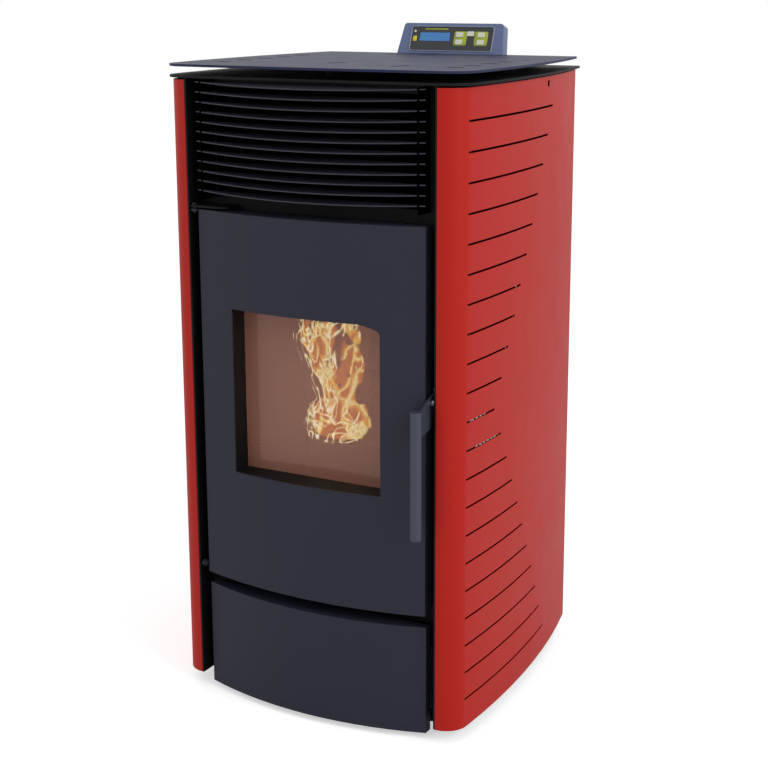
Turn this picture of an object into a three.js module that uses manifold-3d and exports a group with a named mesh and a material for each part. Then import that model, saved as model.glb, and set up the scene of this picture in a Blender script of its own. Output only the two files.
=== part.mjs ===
// Free-standing pellet stove: bowed steel casing, glazed door, pellet hopper, auger and fans.
// Millimetres, +Z up. The front faces -Y and +X is to the right of someone facing the stove.
// The origin is on the floor, in the middle of the whole stove's width and depth.
import * as THREE from "three";
import { mergeVertices } from "three/addons/utils/BufferGeometryUtils.js";
import Module from "manifold-3d";

const wasm = await Module();
wasm.setup();

// ---------------------------------------------------------------- driving dimensions

const GAP = 0.3; // left between pieces that touch
const BOW_GAP = 0.7; // the same beside the side panels, whose bow is made of flats
const HALF_DEPTH = 310; // from the middle to the handle's front, and to the flue's rear end

// Casing
const FOOT_HEIGHT = 25; // floor to the casing's lower edge
const CASING_HEIGHT = 1040;
const PANEL_FRONT_Y = -270;
const PANEL_BACK_Y = 270;
const PANEL_SHEET = 2;
const PANEL_INNER_X = 231; // half the width of the front between the side panels
const PANEL_HALF_WIDTH = 276; // at the widest point of the bowed sides
const PANEL_BOW_R = 1709;
const PANEL_WIDEST_Y = -101;
const PANEL_CORNER_R = 39;
const BASE_SHEET = 3;
const FRAME_SHEET = 3;
const FRAME_FRONT_Y = -232;

// Slots in the side panels
const SLOT_COUNT = 21;
const SLOT_PITCH = 47;
const SLOT_HEIGHT = 3.5;
const SLOT_FRONT_Y = -240;
const SLOT_SHORTEST = 93; // the middle slot
const SLOT_STEP = 24.5; // each slot is this much longer than its neighbour nearer the middle
const SLOT_TOP_MARGIN = 50; // casing's upper edge to the first slot
const PEEP_SLOT = { y: 72, length: 11, height: 10, margin: 12 };

// Feet
const FOOT = { x: 185, frontY: -185, backY: 215, padR: 18, padH: 9, nutR: 9, studR: 5, studTop: 14 };

// Top plate and lid
const PLATE_THICKNESS = 4;
const PLATE_REST = 3; // casing's upper edge to the fixed plate
const PLATE_SPACING = 14; // open gap between the fixed plate and the lid
const PLATE_OVERHANG = 8;
const PLATE_BOW_R = 4500;
const PLATE_FRONT_Y = -278;
const PLATE_CORNER_R = 44;
const LID_BACK_Y = 236;
const LID_SLOT_WIDTH = 3.5;
const LID_SIDE_SLOTS = { count: 5, x: 215, firstY: -175, pitch: 62, length: 30 };
const LID_LOOSE_SLOTS = [
  { x: 117, y: -174, length: 40, turn: 72 },
  { x: -22, y: -134, length: 34, turn: 60 },
  { x: -84, y: 182, length: 34, turn: 0 },
  { x: -12, y: 176, length: 34, turn: 0 },
];
const LID_HINGE = { x: 150, length: 40, pinR: 1.8, knuckleR: 3.6, leaf: 2, leafDepth: 22, setback: 5 };
const BUMPER = { y: -185, r: 8 };

// Louvres
const LOUVRE_COUNT = 12;
const LOUVRE_PITCH = 16;
const LOUVRE_TOP = 2; // casing's upper edge to the first blade's back edge
const LOUVRE = { sheet: 2, slope: 9, post: 3, postX: 198 }; // slope: the blades' fall in degrees
const AIR_MOUTH = { halfWidth: 196, margin: 13 }; // in the frame behind the louvres, margin above and below

// Door
const DOOR_HALF_WIDTH = 211;
const DOOR_BOTTOM = 193; // above the casing's lower edge
const DOOR_HEIGHT = 636;
const DOOR_BOW_R = 777.5;
const DOOR_FRONT_Y = -296.7;
const DOOR_SHEET = 3;
const DOOR_RETURN = 24;
const WINDOW_HALF_WIDTH = 139;
const WINDOW_BOTTOM = 197; // above the door's lower edge
const WINDOW_HEIGHT = 280;
const WINDOW_CORNER = [[0, 14], [4, 9], [13, 5], [35, 0]]; // upper right: in from the side, down from the top
const DOOR_PLATE = { y: -250.3, thickness: 4, margin: 8 };
const TUNNEL_WALL = 3;
const GLASS = { thickness: 4, lap: 10 };
const CLIP = { width: 17, sheet: 2, margin: 15, lap: 7 };
const DOOR_ROPE = { width: 14, margin: 6 }; // rope gasket round the firebox mouth

// Door hinge and handle
const HINGE_X = -219;
const HINGE_Y = -266;
const HINGE_PIN_R = 3;
const HINGE_EYE_R = 6.5;
const HINGE_LEAF = 3;
const BRACKET_FOOT = 14; // height of the brackets' upright part on the frame
const TOP_BRACKET = { lift: 3.5, reach: 66, front: 8 }; // lift is above the door's upper edge
const BOTTOM_LUG_LIFT = 14; // door's lower edge to the lower lug
const HANDLE_PIVOT = { y: -258, z: 357, boltR: 3, headR: 5.5, headL: 4.5, nutL: 4, tip: 2 };
const HANDLE_PLATE = { x: 214.5, sheet: 4 };
const HANDLE_BAR = { x: 211.5, r: 9.5, top: 352, length: 210 }; // top is above the door's lower edge
const LATCH_FINGER = 21; // reach behind the handle's pivot
const CATCH_PIN = { y: -241, r: 3, lift: 17, x: 213 }; // lift is above the handle's pivot
const CATCH_BLOCK = { x: 220.8, frontY: -247, height: 9 };

// Ash drawer
const DRAWER_FRONT_HALF_WIDTH = 211;
const DRAWER_FRONT_BOTTOM = -14; // below the casing's lower edge
const DRAWER_FRONT_HEIGHT = 186;
const DRAWER_BOW_R = 648;
const DRAWER_FRONT_Y = -298.2;
const DRAWER_RETURN = 16;
const DRAWER = { halfWidth: 150, bottom: 30, height: 92, backY: 0, sheet: 1.5, lip: 8 };
const RUNNER = { sheet: 2, flange: 16 };

// Firebox
const FIREBOX = { halfWidth: 175, bottom: 215, height: 520, backY: 10, wall: 4 };
const MOUTH = { halfWidth: 160, bottom: 227, height: 486 };
const ASH_HOLE = { halfWidth: 50, frontY: -140, backY: -50 };
const ASH_BAY = { halfWidth: 162, bottom: 12, height: 128 };
const LINER = { halfWidth: 166, thickness: 20, bottom: 305, height: 410, flutes: 11, flute: 6 };
const FLUTE_SHARES = { land: 0.6, in: 0.7, out: 0.9 }; // of the pitch: land's end, groove's floor
const POT = { y: -95, topZ: 385, wall: 5, topX: 78, topY: 62, waistX: 58, waistY: 46, footX: 70, footY: 58 };
const POT_HOLES = { xs: [-30, -10, 10, 30], ys: [-18, 18], r: 3 };
const IGNITER = { r: 5, rise: 18, nutWall: 5, nutL: 12, rearL: 42 }; // rise is above the pot's floor

// Hopper, auger and chute
const HOPPER = { halfWidth: 165, frontY: 28, backY: 215, sheet: 2, taperZ: 800, throatZ: 640, flange: 10 };
const THROAT = { halfWidth: 22, frontY: 142, backY: 188 };
const GUARD = { drop: 45, bars: 9, barR: 2.5 };
const AUGER = { y: 120, z: 560, tilt: 60, half: 130, boreR: 25.5, wall: 2.5, flightR: 24.5, shaftR: 8 };
const FLIGHT = { pitch: 40, turns: 5.5, sheet: 3 };
const TUBE_MOUTH = { halfWidth: 18, inlet: [-80, -4], outlet: [72, 118] }; // lengths from the tube's middle
const GEARBOX = { width: 64, depth: 56, length: 34, motorR: 24, motorL: 44, socketL: 22 };
const CHUTE = { topY: 52, topZ: 640, bottomY: -34, bottomZ: 542, half: 23, sheet: 2 };

// Fans and pipes
const EXHAUST = { x: -110, z: 290, r: 72, frontY: 150, backY: 206, wall: 3, inletR: 32, impellerR: 60 };
const EXHAUST_MOTOR = { r: 34, length: 46, shaftR: 5 };
const FLUE = { x: -30, z: 250, r: 40, wall: 2.5 };
const INTAKE = { x: 110, z: 290, r: 25, wall: 2, rearReach: 24 };
const ROOM_FAN = { y: 130, z: 100, half: 110, rotorR: 28, shellR: 40, wall: 3, blades: 10, shaftR: 4 };
const ROOM_MOTOR = { r: 26, length: 40 };
const VENT = { count: 8, pitch: 14, height: 3.5, halfWidth: 100, bottom: 62 };

// Controls
const CONTROL = {
  x: -9,
  footHalf: 111,
  topHalf: 102,
  height: 76,
  depth: 20,
  tilt: 20,
  frontY: 248,
  wall: 2.5,
};
const CONTROL_CORNER_R = 6;
const FASCIA = { halfWidth: 83, bottom: 24, height: 44, sheet: 1 };
const DISPLAY = { x: -35, halfWidth: 31, z: 50, halfHeight: 8 };
const KEY = { width: 14, height: 9, proud: 1.2, xs: [16, 60], zs: [40, 54], middle: [38, 56] };
const INLET = { x: 150, z: 110, width: 30, height: 52, depth: 26, flange: 4, plate: 2 };
const SOCKET = { width: 24, height: 17, depth: 16, lift: -11, pin: 2, pinL: 10 };
const SOCKET_PINS = [[-7, 1], [0, -2.5], [7, 1]]; // across and up from the socket's middle
const ROCKER = { width: 18, height: 13, depth: 7, lift: 14, clear: 1 };
const ROCKER_AXLE = { r: 1.5, end: 2.5, bearingEnd: 3 }; // ends stand out past the rocker's sides

// ---------------------------------------------------------------- levels that follow

const casingBottom = FOOT_HEIGHT;
const casingTop = casingBottom + CASING_HEIGHT;
const topPlateZ = casingTop + PLATE_REST;
const lidZ = topPlateZ + PLATE_THICKNESS + PLATE_SPACING;
const doorZ = casingBottom + DOOR_BOTTOM;
const doorTop = doorZ + DOOR_HEIGHT;
const windowZ = doorZ + WINDOW_BOTTOM;
const windowTop = windowZ + WINDOW_HEIGHT;
const frameBackY = FRAME_FRONT_Y + FRAME_SHEET;
const baseTop = casingBottom + BASE_SHEET;
const underTop = topPlateZ - GAP;
const rearPanelY = PANEL_BACK_Y - PANEL_SHEET;
const fireboxZ = casingBottom + FIREBOX.bottom;
const mouthZ = casingBottom + MOUTH.bottom;
const plateBackY = DOOR_PLATE.y + DOOR_PLATE.thickness;
const glassY = plateBackY + GAP;

// ---------------------------------------------------------------- shape helpers

const rad = THREE.MathUtils.degToRad;

/** A closed mesh as a solid that can be joined and cut. */
function solid(geometry) {
  const bare = geometry.index ? geometry.toNonIndexed() : geometry.clone();
  bare.deleteAttribute("normal");
  bare.deleteAttribute("uv");
  const merged = mergeVertices(bare, 1e-4);
  return new wasm.Manifold(
    new wasm.Mesh({
      numProp: 3,
      vertProperties: new Float32Array(merged.attributes.position.array),
      triVerts: new Uint32Array(merged.index.array),
    }),
  );
}

/** A solid's triangles as a geometry for a mesh. */
function geometryOf(manifold) {
  const mesh = manifold.getMesh();
  const positions = new Float32Array(mesh.numVert * 3);
  for (let i = 0; i < mesh.numVert; i++) {
    positions.set(mesh.vertProperties.subarray(i * mesh.numProp, i * mesh.numProp + 3), i * 3);
  }
  const geometry = new THREE.BufferGeometry();
  geometry.setAttribute("position", new THREE.BufferAttribute(positions, 3));
  geometry.setIndex(new THREE.BufferAttribute(new Uint32Array(mesh.triVerts), 1));
  geometry.computeVertexNormals();
  return geometry;
}

const join = (first, ...rest) => rest.reduce((sum, piece) => sum.add(piece), first);
const cut = (first, ...rest) => rest.reduce((sum, piece) => sum.subtract(piece), first);

function boxGeometry([x0, x1], [y0, y1], [z0, z1]) {
  const geometry = new THREE.BoxGeometry(x1 - x0, y1 - y0, z1 - z0);
  return geometry.translate((x0 + x1) / 2, (y0 + y1) / 2, (z0 + z1) / 2);
}

const box = (x, y, z) => solid(boxGeometry(x, y, z));

/** A plan outline, [x, y] points, raised from z0 to z1. */
function raise(points, z0, z1, holes = []) {
  const shape = new THREE.Shape(points.map(([x, y]) => new THREE.Vector2(x, y)));
  for (const hole of holes) {
    shape.holes.push(new THREE.Path(hole.map(([x, y]) => new THREE.Vector2(x, y))));
  }
  const geometry = new THREE.ExtrudeGeometry(shape, { depth: z1 - z0, bevelEnabled: false, steps: 1 });
  return solid(geometry.translate(0, 0, z0));
}

/** A side outline, [y, z] points, carried across from x0 to x1. */
function across(points, x0, x1) {
  const shape = new THREE.Shape(points.map(([y, z]) => new THREE.Vector2(y, z)));
  const geometry = new THREE.ExtrudeGeometry(shape, { depth: x1 - x0, bevelEnabled: false, steps: 1 });
  const turn = new THREE.Matrix4().makeBasis(
    new THREE.Vector3(0, 1, 0),
    new THREE.Vector3(0, 0, 1),
    new THREE.Vector3(1, 0, 0),
  );
  return solid(geometry.applyMatrix4(turn).translate(x0, 0, 0));
}

/** A front outline, [x, z] points, carried back from y0 to y1. */
function deep(points, y0, y1) {
  const shape = new THREE.Shape(points.map(([x, z]) => new THREE.Vector2(x, z)));
  const geometry = new THREE.ExtrudeGeometry(shape, { depth: y1 - y0, bevelEnabled: false, steps: 1 });
  const turn = new THREE.Matrix4().makeBasis(
    new THREE.Vector3(1, 0, 0),
    new THREE.Vector3(0, 0, 1),
    new THREE.Vector3(0, -1, 0),
  );
  return solid(geometry.applyMatrix4(turn).translate(0, y1, 0));
}

/** A round bar along x, y or z, from one end's centre, with its radius and length. */
function bar(axis, [x, y, z], radius, length, sides = 24) {
  const geometry = new THREE.CylinderGeometry(radius, radius, length, sides);
  if (axis === "x") geometry.rotateZ(-Math.PI / 2).translate(length / 2, 0, 0);
  if (axis === "y") geometry.translate(0, length / 2, 0);
  if (axis === "z") geometry.rotateX(Math.PI / 2).translate(0, 0, length / 2);
  return solid(geometry.translate(x, y, z));
}

/** A body of six faces between a lower and an upper rectangle, each [x0, x1, y0, y1]. */
function taper(lower, upper, z0, z1) {
  const corners = ([x0, x1, y0, y1], z) => [x0, y0, z, x1, y0, z, x1, y1, z, x0, y1, z];
  const geometry = new THREE.BufferGeometry();
  const positions = new Float32Array([...corners(lower, z0), ...corners(upper, z1)]);
  geometry.setAttribute("position", new THREE.BufferAttribute(positions, 3));
  const faces = [[3, 2, 1, 0], [4, 5, 6, 7], [0, 1, 5, 4], [1, 2, 6, 5], [2, 3, 7, 6], [3, 0, 4, 7]];
  geometry.setIndex(faces.flatMap(([a, b, c, d]) => [a, b, c, a, c, d]));
  return solid(geometry);
}

/** Points on an arc about (cx, cy), from one angle to another, in radians. */
function arc(cx, cy, r, from, to, steps) {
  return Array.from({ length: steps + 1 }, (_, i) => {
    const angle = from + ((to - from) * i) / steps;
    return [cx + r * Math.cos(angle), cy + r * Math.sin(angle)];
  });
}

/** The outline of a sheet that follows a path, its thickness added on the path's left. */
function sheetOutline(path, thickness) {
  const normals = path.slice(1).map(([x, y], i) => {
    const [px, py] = path[i];
    const length = Math.hypot(x - px, y - py);
    return [-(y - py) / length, (x - px) / length];
  });
  const inner = path.map(([x, y], i) => {
    const before = normals[Math.max(i - 1, 0)];
    const after = normals[Math.min(i, normals.length - 1)];
    const share = 1 + before[0] * after[0] + before[1] * after[1];
    const mitre = thickness / share;
    return [x + (before[0] + after[0]) * mitre, y + (before[1] + after[1]) * mitre];
  });
  return [...path, ...inner.reverse()];
}

/** A bow seen from above: points from left to right on a circle whose foremost point is frontY. */
function bow(r, frontY, halfWidth, steps) {
  const reach = Math.asin(halfWidth / r);
  return arc(0, frontY + r, r, -Math.PI / 2 - reach, -Math.PI / 2 + reach, steps);
}

/** Half an outline mirrored to the other side, in order round the shape. */
const mirrored = (points) => [...points, ...points.map(([x, y]) => [-x, y]).reverse()];

// ---------------------------------------------------------------- nodes

const stove = new THREE.Group();
stove.name = "pellet_stove";

const finishes = {
  redPaint: { color: 0xb04438, roughness: 0.45, metalness: 0.1 },
  anthracitePaint: { color: 0x3a3b44, roughness: 0.5, metalness: 0.2 },
  topPaint: { color: 0x5c5e6a, roughness: 0.5, metalness: 0.2 },
  blackPaint: { color: 0x141418, roughness: 0.6, metalness: 0.2 },
  zincSteel: { color: 0x9a9ca0, roughness: 0.4, metalness: 0.8 },
  castIron: { color: 0x2c2a29, roughness: 0.8, metalness: 0.4 },
  vermiculite: { color: 0x8a7260, roughness: 0.95, metalness: 0 },
  ceramicGlass: { color: 0x7a5c50, roughness: 0.1, metalness: 0, transparent: true, opacity: 0.4 },
  ropeSeal: { color: 0x3b3835, roughness: 1, metalness: 0 },
  brightSteel: { color: 0xb4b8bc, roughness: 0.3, metalness: 1 },
  greyPlastic: { color: 0x5f6a7e, roughness: 0.55, metalness: 0 },
  blackPlastic: { color: 0x121214, roughness: 0.5, metalness: 0 },
  blueDisplay: { color: 0x2478b8, roughness: 0.2, metalness: 0 },
  keyRubber: { color: 0xc9c98a, roughness: 0.6, metalness: 0 },
  blackRubber: { color: 0x1c1c1c, roughness: 0.9, metalness: 0 },
};
const materials = Object.fromEntries(
  Object.entries(finishes).map(([name, look]) => [name, new THREE.MeshStandardMaterial({ ...look, name })]),
);

/** Adds one named piece, made of a solid, and returns its mesh. */
function piece(name, finish, manifold, parent = stove) {
  const mesh = new THREE.Mesh(geometryOf(manifold), materials[finish].clone());
  mesh.name = name;
  parent.add(mesh);
  return mesh;
}

// ---------------------------------------------------------------- casing

/** Half width of the bowed side at a depth y, measured to a surface this far inside the panel. */
function sideX(y, inside = 0) {
  const r = PANEL_BOW_R - inside;
  return PANEL_HALF_WIDTH - PANEL_BOW_R + Math.sqrt(r * r - (y - PANEL_WIDEST_Y) ** 2);
}

/** The bowed side as plan points from one depth to another. */
function sideBow(fromY, toY, outside, steps) {
  const r = PANEL_BOW_R + outside;
  const angleAt = (y) => Math.asin((y - PANEL_WIDEST_Y) / r);
  return arc(PANEL_HALF_WIDTH - PANEL_BOW_R, PANEL_WIDEST_Y, r, angleAt(fromY), angleAt(toY), steps);
}

/** The right side panel: rounded front corner and bowed side, with its slots. */
function sidePanel() {
  const cornerY = PANEL_FRONT_Y + PANEL_CORNER_R;
  const cornerX = sideX(cornerY, PANEL_CORNER_R);
  const bowStart = Math.asin((cornerY - PANEL_WIDEST_Y) / (PANEL_BOW_R - PANEL_CORNER_R));
  const corner = arc(cornerX, cornerY, PANEL_CORNER_R, -Math.PI / 2, bowStart, 9);
  const bowStartY = corner[corner.length - 1][1];
  const path = [
    [PANEL_INNER_X, PANEL_FRONT_Y],
    ...corner,
    ...sideBow(bowStartY, PANEL_BACK_Y, 0, 9).slice(1),
  ];
  const sheet = raise(sheetOutline(path, PANEL_SHEET), casingBottom, casingTop);
  const middle = (SLOT_COUNT - 1) / 2;
  const slots = Array.from({ length: SLOT_COUNT }, (_, i) => {
    const z = casingTop - SLOT_TOP_MARGIN - SLOT_PITCH * i;
    const length = SLOT_SHORTEST + SLOT_STEP * Math.abs(i - middle);
    return box(
      [PANEL_INNER_X, PANEL_HALF_WIDTH + PANEL_SHEET],
      [SLOT_FRONT_Y, SLOT_FRONT_Y + length],
      [z - SLOT_HEIGHT / 2, z + SLOT_HEIGHT / 2],
    );
  });
  const peepTop = casingTop - PEEP_SLOT.margin + PEEP_SLOT.height / 2;
  const peep = box(
    [PANEL_INNER_X, PANEL_HALF_WIDTH + PANEL_SHEET],
    [PEEP_SLOT.y - PEEP_SLOT.length / 2, PEEP_SLOT.y + PEEP_SLOT.length / 2],
    [peepTop - PEEP_SLOT.height, peepTop],
  );
  return cut(sheet, ...slots, peep);
}

const rightPanel = sidePanel();
piece("right_side_panel", "redPaint", rightPanel);
piece("left_side_panel", "redPaint", rightPanel.mirror([1, 0, 0]));

/** What lies between the side panels, from one depth to another, as a plan outline. */
function insidePanels(fromY, toY) {
  return mirrored(sideBow(fromY, toY, -PANEL_SHEET - BOW_GAP, 8));
}

const footPlaces = [
  ["foot_front_left", -FOOT.x, FOOT.frontY],
  ["foot_front_right", FOOT.x, FOOT.frontY],
  ["foot_rear_left", -FOOT.x, FOOT.backY],
  ["foot_rear_right", FOOT.x, FOOT.backY],
];

const studHoles = footPlaces.map(([, x, y]) =>
  bar("z", [x, y, 0], FOOT.studR + GAP, casingBottom + BASE_SHEET + 1, 16),
);
const basePlan = insidePanels(frameBackY + GAP, rearPanelY - GAP);
piece("base_plate", "blackPaint", cut(raise(basePlan, casingBottom, baseTop), ...studHoles));

/** A levelling foot: pad, lock nut under the base and a stud through it. */
function foot() {
  const nutTop = FOOT_HEIGHT - GAP;
  const profile = [
    [0, 0],
    [FOOT.padR, 0],
    [FOOT.padR, FOOT.padH / 2],
    [FOOT.nutR, FOOT.padH],
    [FOOT.nutR, nutTop],
    [FOOT.studR, nutTop],
    [FOOT.studR, FOOT_HEIGHT + FOOT.studTop],
    [0, FOOT_HEIGHT + FOOT.studTop],
  ];
  const points = profile.map(([r, z]) => new THREE.Vector2(r, z));
  return solid(new THREE.LatheGeometry(points, 16).rotateX(Math.PI / 2));
}

const footSolid = foot();
for (const [name, x, y] of footPlaces) {
  piece(name, "blackRubber", footSolid).position.set(x, y, 0);
}

// ---------------------------------------------------------------- firebox and ash bay openings

/** The welded front frame: mouths for the warm air, the firebox and the drawer, and a cheek on each side. */
function frontFrame() {
  const halfWidth = sideX(FRAME_FRONT_Y, PANEL_SHEET + BOW_GAP);
  const blank = box([-halfWidth, halfWidth], [FRAME_FRONT_Y, frameBackY], [casingBottom, underTop]);
  const cheek = box(
    [PANEL_INNER_X - GAP - FRAME_SHEET, PANEL_INNER_X - GAP],
    [PANEL_FRONT_Y + GAP, frameBackY],
    [casingBottom, underTop],
  );
  const through = [FRAME_FRONT_Y - 1, frameBackY + 1];
  const lastBladeZ = casingTop - LOUVRE_TOP - LOUVRE_PITCH * (LOUVRE_COUNT - 1);
  const air = box(
    [-AIR_MOUTH.halfWidth, AIR_MOUTH.halfWidth],
    through,
    [lastBladeZ - AIR_MOUTH.margin, casingTop - AIR_MOUTH.margin],
  );
  const mouth = box([-MOUTH.halfWidth, MOUTH.halfWidth], through, [mouthZ, mouthZ + MOUTH.height]);
  const bayZ = casingBottom + ASH_BAY.bottom;
  const bay = box([-ASH_BAY.halfWidth, ASH_BAY.halfWidth], through, [bayZ, bayZ + ASH_BAY.height]);
  return cut(join(blank, cheek, cheek.mirror([1, 0, 0])), air, mouth, bay);
}

piece("front_frame", "blackPaint", frontFrame());

/** The drop chute's sloping block, grown across by one length and longer at both ends by another. */
function chuteAt(extraHalf, extraLength) {
  const run = [CHUTE.bottomY - CHUTE.topY, CHUTE.bottomZ - CHUTE.topZ];
  const length = Math.hypot(...run);
  const along = [run[0] / length, run[1] / length];
  const half = CHUTE.half + extraHalf;
  const from = [CHUTE.topY - along[0] * extraLength, CHUTE.topZ - along[1] * extraLength];
  const to = [CHUTE.bottomY + along[0] * extraLength, CHUTE.bottomZ + along[1] * extraLength];
  const outline = [
    [from[0] - along[1] * half, from[1] + along[0] * half],
    [to[0] - along[1] * half, to[1] + along[0] * half],
    [to[0] + along[1] * half, to[1] - along[0] * half],
    [from[0] + along[1] * half, from[1] - along[0] * half],
  ];
  return across(outline.reverse(), -half, half);
}

/** The firebox: welded steel box, open at the front, with its ash, flue, air and pellet holes. */
function firebox() {
  const { halfWidth, backY, wall } = FIREBOX;
  const front = frameBackY + GAP;
  const top = fireboxZ + FIREBOX.height;
  const shell = box([-halfWidth, halfWidth], [front, backY], [fireboxZ, top]);
  const inside = box(
    [-halfWidth + wall, halfWidth - wall],
    [front - 1, backY - wall],
    [fireboxZ + wall, top - wall],
  );
  const ashHole = box(
    [-ASH_HOLE.halfWidth, ASH_HOLE.halfWidth],
    [ASH_HOLE.frontY, ASH_HOLE.backY],
    [fireboxZ - 1, fireboxZ + wall + 1],
  );
  const smoke = bar("y", [EXHAUST.x, backY - wall - 1, EXHAUST.z], EXHAUST.inletR, wall + 2);
  const air = bar("y", [INTAKE.x, backY - wall - 1, INTAKE.z], INTAKE.r - INTAKE.wall, wall + 2);
  const spark = bar("y", [0, backY - wall - 1, igniterZ], IGNITER.r + GAP, wall + 2, 12);
  return cut(shell, inside, ashHole, smoke, air, spark, chuteAt(GAP, 10));
}

const fireboxFloor = fireboxZ + FIREBOX.wall;
const potFloorZ = fireboxFloor + (casingBottom + POT.topZ - fireboxFloor) / 2;
const igniterZ = potFloorZ + IGNITER.rise;

piece("firebox", "blackPaint", firebox());

/** The fluted fireproof lining on the firebox's back wall. */
function liner() {
  const { halfWidth, thickness, flutes, flute } = LINER;
  const back = FIREBOX.backY - FIREBOX.wall - GAP;
  const front = back - thickness;
  const pitch = (2 * halfWidth) / flutes;
  const face = [];
  for (let i = 0; i < flutes; i++) {
    const x = -halfWidth + pitch * i;
    face.push([x, front], [x + pitch * FLUTE_SHARES.land, front]);
    face.push([x + pitch * FLUTE_SHARES.in, front + flute], [x + pitch * FLUTE_SHARES.out, front + flute]);
  }
  const plan = [...face, [halfWidth, front], [halfWidth, back], [-halfWidth, back]];
  const z0 = casingBottom + LINER.bottom;
  const spark = bar("y", [0, front - 1, igniterZ], IGNITER.r + GAP, thickness + 2, 12);
  return cut(raise(plan, z0, z0 + LINER.height), chuteAt(GAP, 10), spark);
}

piece("firebox_liner", "vermiculite", liner());

/** The burn pot: a waisted cast cup on a hollow skirt over the ash hole, with air holes. */
function burnPot() {
  const rect = (halfX, halfY) => [-halfX, halfX, POT.y - halfY, POT.y + halfY];
  const z0 = fireboxFloor + GAP;
  const top = casingBottom + POT.topZ;
  const { wall } = POT;
  const foot = taper(rect(POT.footX, POT.footY), rect(POT.waistX, POT.waistY), z0, potFloorZ);
  const cup = taper(rect(POT.waistX, POT.waistY), rect(POT.topX, POT.topY), potFloorZ - wall, top);
  const skirt = taper(
    rect(POT.footX - wall, POT.footY - wall),
    rect(POT.waistX - wall, POT.waistY - wall),
    z0 - 1,
    potFloorZ - 2 * wall,
  );
  const hollow = taper(
    rect(POT.waistX - wall, POT.waistY - wall),
    rect(POT.topX - wall, POT.topY - wall),
    potFloorZ,
    top + 1,
  );
  const holes = [];
  for (const x of POT_HOLES.xs) {
    for (const y of POT_HOLES.ys) {
      holes.push(bar("z", [x, POT.y + y, potFloorZ - 3 * wall], POT_HOLES.r, 4 * wall, 8));
    }
  }
  const spark = bar("y", [0, POT.y, igniterZ], IGNITER.r + GAP, 2 * POT.topY, 12);
  return cut(join(foot, cup), skirt, hollow, ...holes, spark);
}

piece("burn_pot", "castIron", burnPot());

const igniterTip = POT.y + POT.waistY - POT.wall - 4;
piece(
  "igniter",
  "brightSteel",
  join(
    bar("y", [0, igniterTip, igniterZ], IGNITER.r, FIREBOX.backY + IGNITER.rearL - igniterTip, 12),
    bar("y", [0, FIREBOX.backY + GAP, igniterZ], IGNITER.r + IGNITER.nutWall, IGNITER.nutL, 6),
  ),
);

// ---------------------------------------------------------------- top plate, lid and louvres

/** The plates' outline on the right: bowed front, rounded corner and the bowed side. */
function plateOutline(backY) {
  const sideR = PANEL_BOW_R + PLATE_OVERHANG;
  const sideCentre = [PANEL_HALF_WIDTH - PANEL_BOW_R, PANEL_WIDEST_Y];
  const frontCentre = [0, PLATE_FRONT_Y + PLATE_BOW_R];
  const toSide = sideR - PLATE_CORNER_R;
  const toFront = PLATE_BOW_R - PLATE_CORNER_R;
  // The corner's centre is where circles about the two bows' centres cross.
  const apart = Math.hypot(frontCentre[0] - sideCentre[0], frontCentre[1] - sideCentre[1]);
  const along = (toSide ** 2 - toFront ** 2 + apart ** 2) / (2 * apart);
  const aside = Math.sqrt(toSide ** 2 - along ** 2);
  const ux = (frontCentre[0] - sideCentre[0]) / apart;
  const uy = (frontCentre[1] - sideCentre[1]) / apart;
  const corner = [sideCentre[0] + ux * along + uy * aside, sideCentre[1] + uy * along - ux * aside];
  const frontAngle = Math.atan2(corner[1] - frontCentre[1], corner[0] - frontCentre[0]);
  const sideAngle = Math.atan2(corner[1] - sideCentre[1], corner[0] - sideCentre[0]);
  const backAngle = Math.asin((backY - PANEL_WIDEST_Y) / sideR);
  const right = [
    ...arc(...frontCentre, PLATE_BOW_R, -Math.PI / 2, frontAngle, 8).slice(1),
    ...arc(...corner, PLATE_CORNER_R, frontAngle, sideAngle, 5).slice(1),
    ...arc(...sideCentre, sideR, sideAngle, backAngle, 12).slice(1),
  ];
  return [[0, PLATE_FRONT_Y], ...mirrored(right)];
}

const hopperMouth = box(
  [-HOPPER.halfWidth, HOPPER.halfWidth],
  [HOPPER.frontY, HOPPER.backY],
  [topPlateZ - 1, topPlateZ + PLATE_THICKNESS + 1],
);
piece(
  "top_plate",
  "blackPaint",
  cut(raise(plateOutline(PANEL_BACK_Y), topPlateZ, topPlateZ + PLATE_THICKNESS), hopperMouth),
);

const lidHingeY = LID_BACK_Y + LID_HINGE.setback;
const lidHingeZ = lidZ - 1;
const knuckleThird = LID_HINGE.length / 3;

/** A slot through the lid, turned about its own middle. */
function lidSlot({ x, y, length, turn }) {
  const slot = boxGeometry(
    [-length / 2, length / 2],
    [-LID_SLOT_WIDTH / 2, LID_SLOT_WIDTH / 2],
    [lidZ - 1, lidZ + PLATE_THICKNESS + 1],
  );
  return solid(slot.rotateZ(rad(turn)).translate(x, y, 0));
}

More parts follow.
